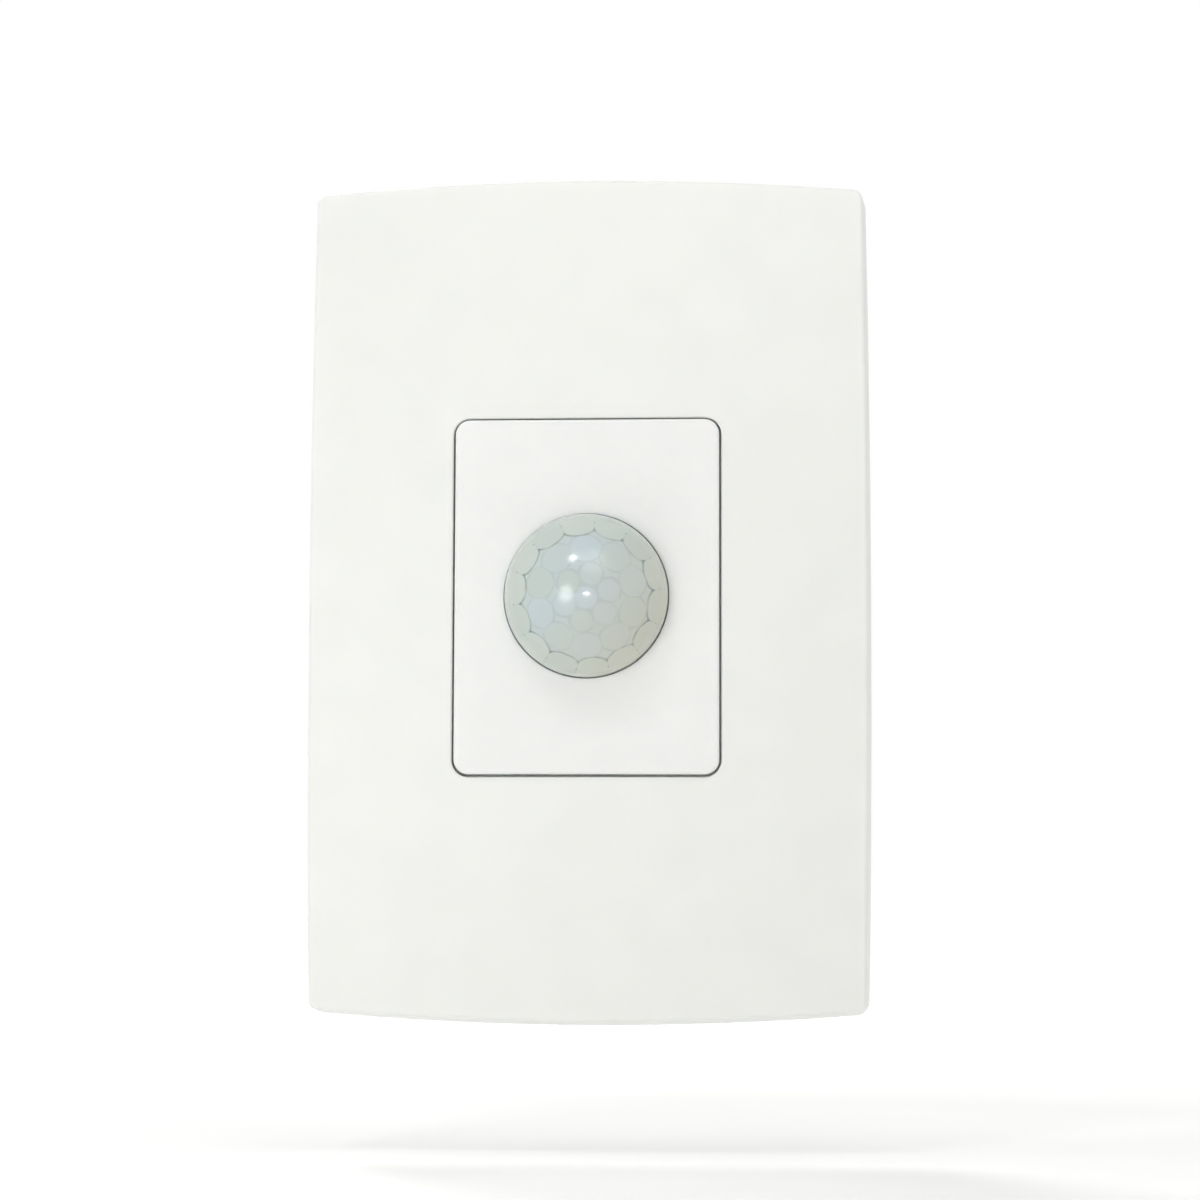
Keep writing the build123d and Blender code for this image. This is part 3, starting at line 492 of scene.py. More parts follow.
@dataclass(frozen=True)
class SleevedCan(Finish):
    """Shrink sleeve over a capacitor can: a dark gloss skin with a pale stripe and a bare metal end."""

    centre_mm: tuple
    back_mm: float
    sleeve: str = "#15181F"
    stripe: str = "#B9BEC4"
    metal: str = "#C9CBCE"
    stripe_radians: float = 0.35
    end_margin_mm: float = 0.05
    roughness: float = 0.28
    ior: float = 1.5
    metal_roughness: tuple = (0.25, 0.4)
    crease_mm: float = 1.25
    crease_depth_mm: float = 0.02

    def surface(self, add: Add) -> Node:
        """Stripe the side that faces up, and leave the crimped end as bare metal.

        Args:
            add: Adds a node to the tree.

        Returns:
            The shader.
        """
        place = self.places(add)
        parts = add("SeparateXYZ", {"Vector": place}).outputs
        middle_x, middle_z = self.centre_mm
        across = add("Math", {0: parts["X"], 1: middle_x}, operation="SUBTRACT")
        upward = add("Math", {0: parts["Z"], 1: middle_z}, operation="SUBTRACT")
        turn = add("Math", {0: across, 1: upward}, operation="ARCTAN2")
        swing = add("Math", {0: turn}, operation="ABSOLUTE")
        striped = add("Math", {0: swing, 1: self.stripe_radians}, operation="LESS_THAN")
        shade = add("ValToRGB", {"Fac": striped}, ((0.0, self.sleeve), (1.0, self.stripe)))
        creases = add("TexNoise", {"Vector": place, "Scale": 1 / self.crease_mm})
        relief = add("Bump", {"Height": creases, "Distance": self.crease_depth_mm * MM})
        film = {"Base Color": shade, "Roughness": self.roughness, "IOR": self.ior, "Normal": relief}
        low, high = self.metal_roughness
        dull = add("MapRange", {"Value": creases, "To Min": low, "To Max": high})
        bare = {"Base Color": linear(self.metal), "Metallic": 1.0, "Roughness": dull}
        past_mm = self.back_mm - self.end_margin_mm
        ends = {
            "Fac": add("Math", {0: parts["Y"], 1: past_mm}, operation="GREATER_THAN"),
            1: add("BsdfPrincipled", film),
            2: add("BsdfPrincipled", bare),
        }
        return add("MixShader", ends)


@dataclass(frozen=True)
class MilkyLens(Finish):
    """Moulded polyethylene lens: milky, its inner cells soft patches of painted shade with thin seams.

    The cells are those of the solid: each is a flat cut into the round inside, and its depth at a
    point is measured against the round, which counts as 1. They are seen through the wall, from a
    little in front of the lens centre, and the rings lean a few degrees down and to the right.
    Each ring has its tilt, its count of cells and the angle that a cell spans.
    """

    # Painted shade: each inner cell takes a tone between cool and fresh, standing in for how its facet bends
    # the light
    cool: str = "#D1DEE3"
    fresh: str = "#CFDBD5"
    # Painted reflection: the warm tone that the lower right turns to
    warm: str = "#DBDACA"
    # Painted light: the paler tone of the outer ring
    rim: str = "#D6E0D9"
    seam: str = "#94A29F"
    centre_mm: tuple = (0.1, -9.9, -0.1)
    lean: tuple = (5.3, -5.8)
    outer_ring: tuple = ((65.0, 14, 13.0),)
    inner_rings: tuple = ((40.0, 10, 12.5), (18.5, 6, 9.5), (0.0, 1, 9.5))
    first_turn: float = 19.0
    # Steps of the golden section keep the painted shades of neighbouring cells apart
    tone_step: float = 0.382
    tone_shift: float = 0.01
    # The depth over which the tone of one cell turns into that of the next
    blend_depth: float = 0.003
    # How far each kind of seam reaches, in depth, and how strong it is
    scallop_seam: tuple = (0.0066, 0.75)
    corner_seam: tuple = (0.012, 0.7)
    inner_seam: tuple = (0.006, 0.22)
    spoke_seam: tuple = (0.003, 0.2)
    rim_seam: tuple = (0.02, 0.25)
    rim_line: float = 76.5
    # Where the outer cells' middle lies, and the depth that stands for them past it
    outer_middle: tuple = (70.0, 64.0)
    past_depth: float = 1.03
    ring_edge: float = 0.002
    wear: tuple = (0.35, 0.6)
    least_wear: float = 0.3
    rim_at: float = 0.6
    mottle_mm: float = 2.0
    mottle_depth_mm: float = 0.02
    wobble_mm: float = 0.5
    groove_depth: float = 0.004
    groove_depth_mm: float = 0.01
    # Painted reflection: where, and how strongly, the lens turns warm towards the lower right
    warm_reflection_side: tuple = (0.8, 0.0, -0.6)
    warm_reflection_reach: tuple = (-0.1, 0.95)
    warm_reflection_share: float = 0.75
    ior: float = 1.54
    shine: float = 0.7
    skin_roughness: float = 0.14
    scatter: float = 0.4
    scatter_mm: float = 0.5
    scatter_tint: tuple = (1.0, 1.2, 1.1)
    clear_share: float = 0.16
    clear_roughness: float = 0.25

    def axis(self) -> Matrix:
        """Give the turn from straight ahead to the way that the rings face."""
        across, upward = (radians(angle) for angle in self.lean)
        return Matrix.Rotation(across, 3, "Z") @ Matrix.Rotation(-upward, 3, "X")

    def deepest(self, add: Add, unit: Node, rings: tuple, round_depth: float) -> tuple[Node, Node, Node]:
        """Find the cell that cuts deepest at each point.

        Args:
            add: Adds a node to the tree.
            unit: The direction of the point from the lens centre.
            rings: The rings whose cells count.
            round_depth: The depth that a cell has to pass, 1 for the round inside or 0 for none.

        Returns:
            The depth of the deepest cell, that of the next, and the painted shade of the deepest.
        """
        best: Feed = round_depth
        second: Feed = 0.0
        tone: Feed = 0.5
        for tilt, count, span in rings:
            out = sin(radians(tilt))
            for k in range(count):
                turn = radians(self.first_turn + 360 * k / count)
                facing = self.axis() @ Vector((out * cos(turn), -cos(radians(tilt)), out * sin(turn)))
                cut = {0: unit, 1: facing / cos(radians(span))}
                depth = add("VectorMath", cut, operation="DOT_PRODUCT").outputs["Value"]
                ahead = add("Math", {0: depth, 1: best}, operation="SUBTRACT")
                step = {0: ahead, 1: 1 / self.blend_depth, 2: 0.5}
                share = add("Math", step, operation="MULTIPLY_ADD", use_clamp=True)
                own_tone = (self.tone_step * k + self.tone_shift * tilt) % 1.0
                tone = add("Mix", {"Factor": share, "A": tone, "B": own_tone})
                lower = add("Math", {0: depth, 1: best}, operation="MINIMUM")
                second = add("Math", {0: lower, 1: second}, operation="MAXIMUM")
                best = add("Math", {0: depth, 1: best}, operation="MAXIMUM")
        return best, second, tone

    def seams(self, add: Add, one: Feed, other: Feed, reach: float, share: float) -> Node:
        """Mark where two depths are nearly the same.

        Args:
            add: Adds a node to the tree.
            one: One depth.
            other: The other depth.
            reach: The difference at which the mark has faded out.
            share: How strong the mark is at most.

        Returns:
            The mark, strongest on the seam and 0 away from it.
        """
        gap = add("Math", {0: one, 1: other}, operation="SUBTRACT")
        size = add("Math", {0: gap}, operation="ABSOLUTE")
        fade = {"Value": size, "From Max": reach, "To Min": share, "To Max": 0.0}
        return add("MapRange", fade, interpolation_type="SMOOTHSTEP")

    def surface(self, add: Add) -> Node:
        """Paint shade on the cells, light on the outer ring and the lower right, darken the seams, and mix
        milk with clear plastic.

        Args:
            add: Adds a node to the tree.

        Returns:
            The shader.
        """
        place = self.places(add)
        mottle = add("TexNoise", {"Vector": place, "Scale": 1 / self.mottle_mm, "Detail": 2.0}).outputs
        arm = add("VectorMath", {0: place, 1: self.centre_mm}, operation="SUBTRACT")
        # Soft moulding leaves the cells a little uneven
        wobble = {0: mottle["Color"], 1: (self.wobble_mm,) * 3, 2: arm}
        bent = add("VectorMath", wobble, operation="MULTIPLY_ADD")
        unit = add("VectorMath", {0: bent}, operation="NORMALIZE")
        cosine = {0: unit, 1: self.axis() @ Vector((0.0, -1.0, 0.0))}
        level = add("VectorMath", cosine, operation="DOT_PRODUCT").outputs["Value"]
        cells, cells_next, outer_painted_shade = self.deepest(add, unit, self.outer_ring, 0.0)
        inner, inner_next, inner_painted_shade = self.deepest(add, unit, self.inner_rings, 1.0)
        # The outer cells run on to the rim, so past their middle nothing is deeper than they are
        low, high = (cos(radians(angle)) for angle in self.outer_middle)
        beyond = {"Value": level, "From Min": low, "From Max": high, "To Min": self.past_depth, "To Max": 0.0}
        past = add("MapRange", beyond)
        outer = add("Math", {0: cells, 1: past}, operation="MAXIMUM")
        lead = add("Math", {0: outer, 1: inner}, operation="SUBTRACT")
        edge = {"Value": lead, "From Min": -self.ring_edge, "From Max": self.ring_edge}
        outside = add("MapRange", edge)
        # Seams: strong along the scallops and stronger in their corners, faint elsewhere
        low, high = self.wear
        worn = {"Value": mottle["Fac"], "From Min": low, "From Max": high, "To Min": self.least_wear}
        patchy = add("MapRange", worn)
        scallop = self.seams(add, outer, inner, *self.scallop_seam)
        corner = self.seams(add, cells, cells_next, *self.corner_seam)
        spot = add("Math", {0: scallop, 1: corner}, operation="MULTIPLY")
        thin = self.seams(add, inner, inner_next, *self.inner_seam)
        spoke = self.seams(add, cells, cells_next, *self.spoke_seam)
        ring = self.seams(add, level, cos(radians(self.rim_line)), *self.rim_seam)
        line = add("Math", {0: scallop, 1: thin}, operation="MAXIMUM")
        band = add("Math", {0: spoke, 1: outside}, operation="MULTIPLY")
        band = add("Math", {0: band, 1: ring}, operation="MAXIMUM")
        drawn = add("Math", {0: line, 1: band}, operation="MAXIMUM")
        faded = {0: drawn, 1: patchy, 2: spot}
        marks = add("Math", faded, operation="MULTIPLY_ADD", use_clamp=True)
        # Painted light in the tones: each cell its own shade, standing in for how its facet bends the light,
        # warmer towards the lower right as a painted reflection, and paler in the outer ring as painted light
        tinted = add("ValToRGB", {"Fac": inner_painted_shade}, ((0.0, self.cool), (1.0, self.fresh)))
        ring_painted_light = add("ValToRGB", {"Fac": outer_painted_shade}, ((0.0, self.fresh), (self.rim_at, self.rim)))
        both = add("MixRGB", {"Fac": outside, "Color1": tinted, "Color2": ring_painted_light})
        slope = add("VectorMath", {0: unit, 1: self.warm_reflection_side}, operation="DOT_PRODUCT")
        low, high = self.warm_reflection_reach
        reflection_span = {"From Min": low, "From Max": high, "To Max": self.warm_reflection_share}
        painted_warm_reflection = add("MapRange", {"Value": slope.outputs["Value"], **reflection_span})
        painted_light_tone = add("MixRGB", {"Fac": painted_warm_reflection, "Color1": both, "Color2": linear(self.warm)})
        colour = add("MixRGB", {"Fac": marks, "Color1": painted_light_tone, "Color2": linear(self.seam)})
        # The outside is a little uneven, and the clear share shows the fine grooves of the cells
        groove = add("Math", {0: inner, 1: 2 * pi / self.groove_depth}, operation="MULTIPLY")
        wave = add("Math", {0: groove}, operation="SINE")
        milk = {
            "Base Color": colour,
            "Roughness": self.skin_roughness,
            "IOR": self.ior,
            "Specular IOR Level": self.shine,
            "Subsurface Weight": self.scatter,
            "Subsurface Radius": self.scatter_tint,
            "Subsurface Scale": self.scatter_mm * MM,
            "Normal": add("Bump", {"Height": mottle["Fac"], "Distance": self.mottle_depth_mm * MM}),
        }
        clear = {
            "Base Color": colour,
            "Roughness": self.clear_roughness,
            "IOR": self.ior,
            "Transmission Weight": 1.0,
            "Normal": add("Bump", {"Height": wave, "Distance": self.groove_depth_mm * MM}),
        }
        shares = {
            "Fac": self.clear_share,
            1: add("BsdfPrincipled", milk),
            2: add("BsdfPrincipled", clear),
        }
        return add("MixShader", shares)


class Axis(Enum):
    """The way that a small part's body lies between its leads: through the board, or up along it."""

    THROUGH = "Y"
    ALONG = "Z"


@dataclass(frozen=True)
class Leaded(Finish):
    """A small part with leads: one finish for its body, and tinned wire past the ends of that."""

    body: Finish
    low_mm: float = -FAR_MM
    high_mm: float = FAR_MM
    axis: Axis = Axis.THROUGH
    margin_mm: float = 0.02

    def surface(self, add: Add) -> Node:
        """Show the body between its two ends, and the leads elsewhere.

        Args:
            add: Adds a node to the tree.

        Returns:
            The shader.
        """
        parts = add("SeparateXYZ", {"Vector": self.places(add)}).outputs
        middle = (self.low_mm + self.high_mm) / 2
        reach = (self.high_mm - self.low_mm) / 2 + self.margin_mm
        near = {0: parts[self.axis.value], 1: middle, 2: reach}
        inside = add("Math", near, operation="COMPARE")
        lead, body = TINNED_COPPER.surface(add), self.body.surface(add)
        return add("MixShader", {"Fac": inside, 1: lead, 2: body})


@dataclass(frozen=True)
class MattPaper(Finish):
    """Matt paper for the floor: faintly cloudy, with a glow that only rays which show the room get."""

    light: str = "#F8F8F7"
    dark: str = "#F5F5F4"
    dark_at: float = 0.3
    light_at: float = 0.7
    cloud_mm: float = 40.0
    glow: tuple = (0.1, 0.45)
    glow_reach: tuple = (0.15, 0.8)

    def surface(self, add: Add) -> Node:
        """Cloud the paper, and let it glow towards its far end so that it meets the backdrop.

        Args:
            add: Adds a node to the tree.

        Returns:
            The shader.
        """
        place = add("TexCoord").outputs["Object"]
        clouds = add("TexNoise", {"Vector": place, "Scale": 1 / (self.cloud_mm * MM)})
        tone = add("ValToRGB", {"Fac": clouds}, ((self.dark_at, self.dark), (self.light_at, self.light)))
        matt = add("BsdfDiffuse", {"Color": tone})
        away = add("VectorMath", {0: place}, operation="LENGTH").outputs["Value"]
        near, far = self.glow_reach
        weak, strong = self.glow
        rise = {"Value": away, "From Min": near, "From Max": far, "To Min": weak, "To Max": strong}
        strength = add("MapRange", rise)
        glow = add("Emission", {"Color": linear(WHITE), "Strength": strength})
        shown = add("AddShader", {0: matt, 1: glow})
        return add("MixShader", {"Fac": shows_room(add), 1: matt, 2: shown})


def shows_room(add: Add) -> Node:
    """Say where a ray is one that shows the room: seen, mirrored or through glass.

    Args:
        add: Adds a node to the tree.

    Returns:
        1 for such a ray, 0 for one that only carries light.
    """
    path = add("LightPath").outputs
    either = {0: path["Is Camera Ray"], 1: path["Is Glossy Ray"]}
    seen = add("Math", either, operation="MAXIMUM")
    return add("Math", {0: seen, 1: path["Is Transmission Ray"]}, operation="MAXIMUM")


# ABS from a polished mould: near-white with a warm cast and a soft sheen. Its real grain is under
# 0.1 mm, too fine for the picture, so it is drawn at 0.4 mm and very shallow.
PLATE_ABS = MouldedPlastic(
    "moulded_abs_plate", "#F2F3EF", "#F0F1ED", roughness=0.42, scatter=0.4, scatter_mm=0.8
)
# The same ABS from a finer mould, cooler by a shade, so that the insert reads apart from the plate.
BEZEL_ABS = MouldedPlastic(
    "moulded_abs_bezel", "#F4F4F2", "#F2F2F0", roughness=0.38, grain_depth_mm=0.002, scatter=0.6
)
# Polyethylene is milky in thin walls, so the lens glows and only hints at what is behind it.
LENS_HDPE = MilkyLens("moulded_hdpe_lens")
# Glass-filled polyamide: grey and matt, with fibre ends at its surface. Real fibres are 0.3 mm long
# and far thinner, so they are drawn several times as coarse.
FRAME_POLYAMIDE = GlassFilledPlastic("glass_filled_polyamide_frame", "#A2A4A6", "#B4B6B8", fibre_mm=0.35)
# The same plastic in white, a shade duller than the bezel that it sits in.
RETAINER_POLYAMIDE = GlassFilledPlastic("glass_filled_polyamide_ring", "#D9D9D5", "#ECECE9")
# Flame-retardant ABS from a spark-eroded mould: ivory grey with fine pits, drawn a few times as coarse.
HOUSING_ABS = SparkErodedPlastic(
    "flame_retardant_abs_housing", "#E2E1DA", "#D9D8D0", pit_mm=0.35, pit_depth_mm=0.012
)
# Green polyamide with a soft gloss, as terminal blocks have.
TERMINAL_POLYAMIDE = MouldedPlastic("green_polyamide_terminal", "#2F6B47", "#28603E", roughness=0.42)
# Solder mask over the board's copper and glass weave.
BOARD_LAMINATE = SolderMask("glass_epoxy_laminate")
# Epoxy moulding compound: near black and matt, with a coarse grain.
EPOXY_COMPOUND = SparkErodedPlastic(
    "epoxy_moulding_compound",
    "#2A2B2E",
    "#1C1D20",
    roughness=0.62,
    pit_mm=0.25,
    pit_depth_mm=0.012,
    cloud_mm=4.0,
)
# Polyester case of a power relay, a saturated blue with some gloss.
RELAY_POLYESTER = MouldedPlastic("polyester_relay_case", "#2D5AA8", "#27509A", roughness=0.3)
# Polyester box of a film capacitor, yellow and glossy.
FILM_POLYESTER = MouldedPlastic("polyester_capacitor_box", "#E0A92E", "#D69E26", roughness=0.3)
# Dipped epoxy of a varistor disc: blue, uneven where it ran.
VARISTOR_EPOXY = MouldedPlastic(
    "dipped_epoxy_varistor", "#2F6CA6", "#285F96", roughness=0.25, flow_mm=2.5, flow_depth_mm=0.08
)
# Red epoxy of an indicator lamp, clear enough to glow at its edges.
LAMP_EPOXY = TintedGlass("cast_epoxy_lamp", "#D8242A", ior=1.54, roughness=0.08, transmission=0.75)
# Silicon filter pane of the sensor, nearly black and mirror-like.
FILTER_PANE = TintedGlass("infrared_filter_pane", "#2B2A33", ior=1.9, roughness=0.04, transmission=0.35)
# Varnished ceramic of the light cell, orange under a thin gloss.
PHOTOCELL_CERAMIC = MouldedPlastic(
    "varnished_ceramic_photocell", "#D98A45", "#C87634", roughness=0.25, flow_mm=0.9, flow_depth_mm=0.03
)
# Bare pyroelectric ceramic, a chalky cream.
SENSOR_CERAMIC = SparkErodedPlastic("pyroelectric_ceramic", "#CFC8B8", "#C2BAA8", roughness=0.7, pit_mm=0.12)
# Blue acetal of the trimmer bodies.
TRIMMER_ACETAL = MouldedPlastic("acetal_trimmer_body", "#2C5BA0", "#264F90", roughness=0.35)
# White acetal rotors, with the waxy look of that plastic.
ROTOR_ACETAL = MouldedPlastic("acetal_trimmer_rotor", "#ECEBE6", "#E4E3DE", roughness=0.35)
# Zinc plate on steel, bright with a bluish passivation.
ZINC_STEEL = PlatedMetal("zinc_plated_steel", "#C9CCD0", "#AEB2B8", roughness=0.32)
# Nickel plate on a drawn can, warmer and smoother than zinc.
NICKEL_CAN = PlatedMetal("nickel_plated_can", "#CFCBC2", "#B8B3A9", roughness=0.2, line_depth_mm=0.001)
# Tin on copper leads, soft grey and slightly dull.
TINNED_COPPER = PlatedMetal("tinned_copper_lead", "#C6C6C4", "#A9AAA9", roughness=0.35)
# Pure iron with a thin nickel flash, greyer than steel.
SOFT_IRON = PlatedMetal("nickel_flashed_iron", "#A7A6A3", "#8E8D8B", roughness=0.38, along=(1.0, 1.0, 0.1))
# Rolled brass strip, yellow where it is fresh and browner where it has aged.
BRASS_STRIP = PlatedMetal("rolled_brass_strip", "#CFAE62", "#BE9A50", roughness=0.28)
# Enamelled wire in close turns.
COPPER_WINDING = WoundCopper("enamelled_copper_winding")
# Solder that set in the air: bright with a soft grain.
SOLDER = PlatedMetal("tin_solder", "#CACCCD", "#AEB0B2", roughness=0.25, line_mm=0.3)
# Shrink sleeve on an aluminium can: near black with a gloss, a pale stripe up one side, a bare end.
FILTER_SLEEVE = SleevedCan("sleeved_filter_can", (14.6, -8.0), 17.0)
TIMING_SLEEVE = SleevedCan("sleeved_timing_can", (6.8, -14.5), 12.0)
# Moulded epoxy of a diode, black with the silver ring that marks its cathode.
DIODE_EPOXY = BandedLacquer("moulded_diode_body", "#1D1E20", ("#C9CCCE",), -11.0, 4.0, 0.8, roughness=0.5)
# Lacquer of a film resistor: glossy tan, with brown, black, red and gold rings.
RESISTOR_LACQUER = BandedLacquer(
    "lacquered_resistor", "#D9BE92", ("#7A3B1C", "#1D1D1D", "#C8352A", "#B08A3A"), -19.2, 1.3, 0.55
)
# Matt paper, bright enough to meet the backdrop. Its fibres are too fine to show, so it is clouded
# at 40 mm, and only just.
FLOOR_PAPER = MattPaper("matt_white_paper")


def facing_room(x_mm: float, depth_mm: float, z_mm: float) -> Matrix:
    """Give a place on a face that looks to the room, with local Z towards the room and Y up."""
    return Matrix.Translation(Vector((x_mm, -depth_mm, z_mm)) * MM) @ Matrix.Rotation(pi / 2, 4, "X")


def facing_wall(x_mm: float, depth_mm: float, z_mm: float) -> Matrix:
    """Give a place on a face that looks into the wall box, with local Z that way and Y up."""
    return facing_room(x_mm, depth_mm, z_mm) @ Matrix.Rotation(pi, 4, "Y")


@dataclass
class SubAssembly:
    """A group of nodes that are dressed, and added to, together."""

    title: str = ""
    # A bar narrows above the first share of its height, by the second share of it
    bar_shoulder: float = 0.6
    bar_inset: float = 0.5
    # The built-in face's capitals are this much of its size
    capital_share: float = 0.73
    letter_rounding_mm: float = 0.03
    letter_steps: int = 4

    def finishes(self) -> dict[str, Finish]:
        """Say what each node of the group is made of."""
        raise NotImplementedError

    def pieces(self) -> list[bpy.types.Object]:
        """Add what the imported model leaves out. Most groups add nothing."""
        return []

    def build(self) -> None:
        """Dress every node of the group, add its new pieces, and report them."""
        for node, finish in self.finishes().items():
            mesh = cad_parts[node].data
            mesh.materials.clear()
            mesh.materials.append(finish.material())
            LOG.info("%s: %s in %s", self.title, node, finish.name)
        for piece in self.pieces():
            LOG.info("%s: added %s", self.title, piece.name)

    def place_piece(self, name: str, mesh: bpy.types.Mesh, finish: Finish, slot: str) -> bpy.types.Object:
        """Put a new mesh in the scene as a piece that stays with the base.

        Args:
            name: The piece's name.
            mesh: Its mesh, in the object's own frame.
            finish: What it is made of.
            slot: The record's material slot. It is not used.

        Returns:
            The new object.
        """
        mesh.materials.append(finish.material())
        piece = bpy.data.objects.new(name, mesh)
        bpy.context.scene.collection.objects.link(piece)
        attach(piece, "base")
        return piece

    def mesh_of(self, name: str, shape: Shape) -> bpy.types.Mesh:
        """Turn a shape into a mesh and free it.

        Args:
            name: The mesh's name.
            shape: The shape.

        Returns:
            The new mesh.
        """
        mesh = bpy.data.meshes.new(name)
        bmesh.ops.recalc_face_normals(shape, faces=shape.faces[:])
        shape.to_mesh(mesh)
        shape.free()
        return mesh

    def wrap(self, shape: Shape, rings: list, closed: bool = False) -> None:
        """Join each ring of corners to the next with faces.

        Args:
            shape: The shape that gets the faces.
            rings: The rings, all with the same count of corners.
            closed: Whether the last ring meets the first one. If not, both get an end face.
        """
        following = rings[1:] + rings[:1] if closed else rings[1:]
        for low, high in zip(rings, following):
            for k, corner in enumerate(low):
                j = (k + 1) % len(low)
                shape.faces.new((corner, low[j], high[j], high[k]))
        if not closed:
            shape.faces.new(rings[0][::-1])
            shape.faces.new(rings[-1])

    def bar(self, shape: Shape, place: Matrix, size_mm: tuple) -> None:
        """Add one small raised bar with softened top edges.

        Args:
            shape: The shape that gets it.
            place: Where its foot stands, with Z as the way that it rises.
            size_mm: Its width, its length and its height.
        """
        width, length, height = (s * MM for s in size_mm)
        steps = ((0.0, 0.0), (height * self.bar_shoulder, 0.0), (height, height * self.bar_inset))
        rings = []
        for level, inset in steps:
            x, y = width / 2 - inset, length / 2 - inset
            corners = ((-x, -y), (x, -y), (x, y), (-x, y))
            rings.append([shape.verts.new(place @ Vector((*corner, level))) for corner in corners])
        self.wrap(shape, rings)

    def letters(self, text: str, height_mm: float, proud_mm: float, place: Matrix) -> bpy.types.Mesh:
        """Make raised letters.

        Args:
            text: What they say.
            height_mm: How tall a capital is.
            proud_mm: How far they stand out.
            place: Where their middle is, with Z as the way that they stand out.

        Returns:
            Their mesh.
        """
        curve = bpy.data.curves.new(f"letters_{text}", "FONT")
        curve.body = text
        curve.size = height_mm / self.capital_share * MM
        curve.align_x = "CENTER"
        curve.align_y = "CENTER"
        # The rounding adds to the front and the back, so the middle part is that much thinner
        curve.extrude = (proud_mm / 2 - self.letter_rounding_mm) * MM
        curve.bevel_depth = self.letter_rounding_mm * MM
        curve.resolution_u = self.letter_steps
        holder = bpy.data.objects.new(curve.name, curve)
        mesh = bpy.data.meshes.new_from_object(holder)
        bpy.data.objects.remove(holder)
        bpy.data.curves.remove(curve)
        mesh.transform(place @ Matrix.Translation((0.0, 0.0, proud_mm / 2 * MM)))
        return mesh


@dataclass
class CoverPlate(SubAssembly):
    """The clip-on plate that the room sees."""

    title: str = "cover plate"

    def finishes(self) -> dict[str, Finish]:
        """Say what the plate is made of."""
        return {"cover_plate": PLATE_ABS}


@dataclass
class SensingModule(SubAssembly):
    """The bezel with its lens, and the raised scales round the two trimmers below the insert."""

    title: str = "sensing module"
    trimmer_x_mm: float = 9.0
    trimmer_z_mm: float = -28.2
    flange_front_mm: float = 5.2
    tick_radius_mm: float = 2.75
    tick_mm: tuple = (0.2, 0.55, 0.2)
    tick_sweep: float = 270.0
    tick_count: int = 7
    word_z_mm: float = -32.9
    word_height_mm: float = 1.5

    def finishes(self) -> dict[str, Finish]:
        """Say what the bezel, the lens and the ring behind it are made of."""
        return {"module_bezel": BEZEL_ABS, "dome_lens": LENS_HDPE, "lens_retainer": RETAINER_POLYAMIDE}

    def pieces(self) -> list[bpy.types.Object]:
        """Add a scale of ticks and a word for each trimmer.

        Returns:
            The new pieces.
        """
        made = []
        for side, word in ((-1, "TIME"), (1, "LUX")):
            x = side * self.trimmer_x_mm
            middle = facing_room(x, self.flange_front_mm, self.trimmer_z_mm)
            outward = Matrix.Translation((0.0, self.tick_radius_mm * MM, 0.0))
            shape = bmesh.new()
            for k in range(self.tick_count):
                turn = radians(self.tick_sweep * (k / (self.tick_count - 1) - 0.5))
                self.bar(shape, middle @ Matrix.Rotation(turn, 4, "Z") @ outward, self.tick_mm)
            scale = self.mesh_of(f"{word.lower()}_scale", shape)
            made.append(self.place_piece(scale.name, scale, BEZEL_ABS, "bezel_abs"))
            place = facing_room(x, self.flange_front_mm, self.word_z_mm)
            label = self.letters(word, self.word_height_mm, self.tick_mm[2], place)
            made.append(self.place_piece(f"{word.lower()}_word", label, BEZEL_ABS, "bezel_abs"))
        return made


@dataclass
class SupportFrame(SubAssembly):
    """The frame behind the plate, with a raised arrow that says which way is up."""

    title: str = "support frame"
    arrow_z_mm: float = 51.2
    arrow_width_mm: float = 3.0
    arrow_height_mm: float = 2.4
    stroke_mm: float = 0.45
    # The middles of the head's strokes lie this share of the half width out, and this far below the tip
    head_out: float = 0.36
    head_drop_mm: float = 0.4
    head_turn: float = 45.0
    front_mm: float = 3.6
    proud_mm: float = 0.2

    def finishes(self) -> dict[str, Finish]:
        """Say what the frame is made of."""
        return {"support_frame": FRAME_POLYAMIDE}

    def pieces(self) -> list[bpy.types.Object]:
        """Add the arrow as three raised strokes.

        Returns:
            The new piece.
        """
        shape = bmesh.new()
        middle = facing_room(0.0, self.front_mm, self.arrow_z_mm)
        half, up = self.arrow_width_mm / 2, self.arrow_height_mm / 2 - self.head_drop_mm
        self.bar(shape, middle, (self.stroke_mm, self.arrow_height_mm, self.proud_mm))
        for side in (-1, 1):
            reach = Vector((side * self.head_out * half, up, 0.0)) * MM
            turn = Matrix.Rotation(side * radians(self.head_turn), 4, "Z")
            self.bar(shape, middle @ Matrix.Translation(reach) @ turn, (self.stroke_mm, half, self.proud_mm))
        arrow = self.mesh_of("up_arrow", shape)
        return [self.place_piece(arrow.name, arrow, FRAME_POLYAMIDE, "frame_plastic")]


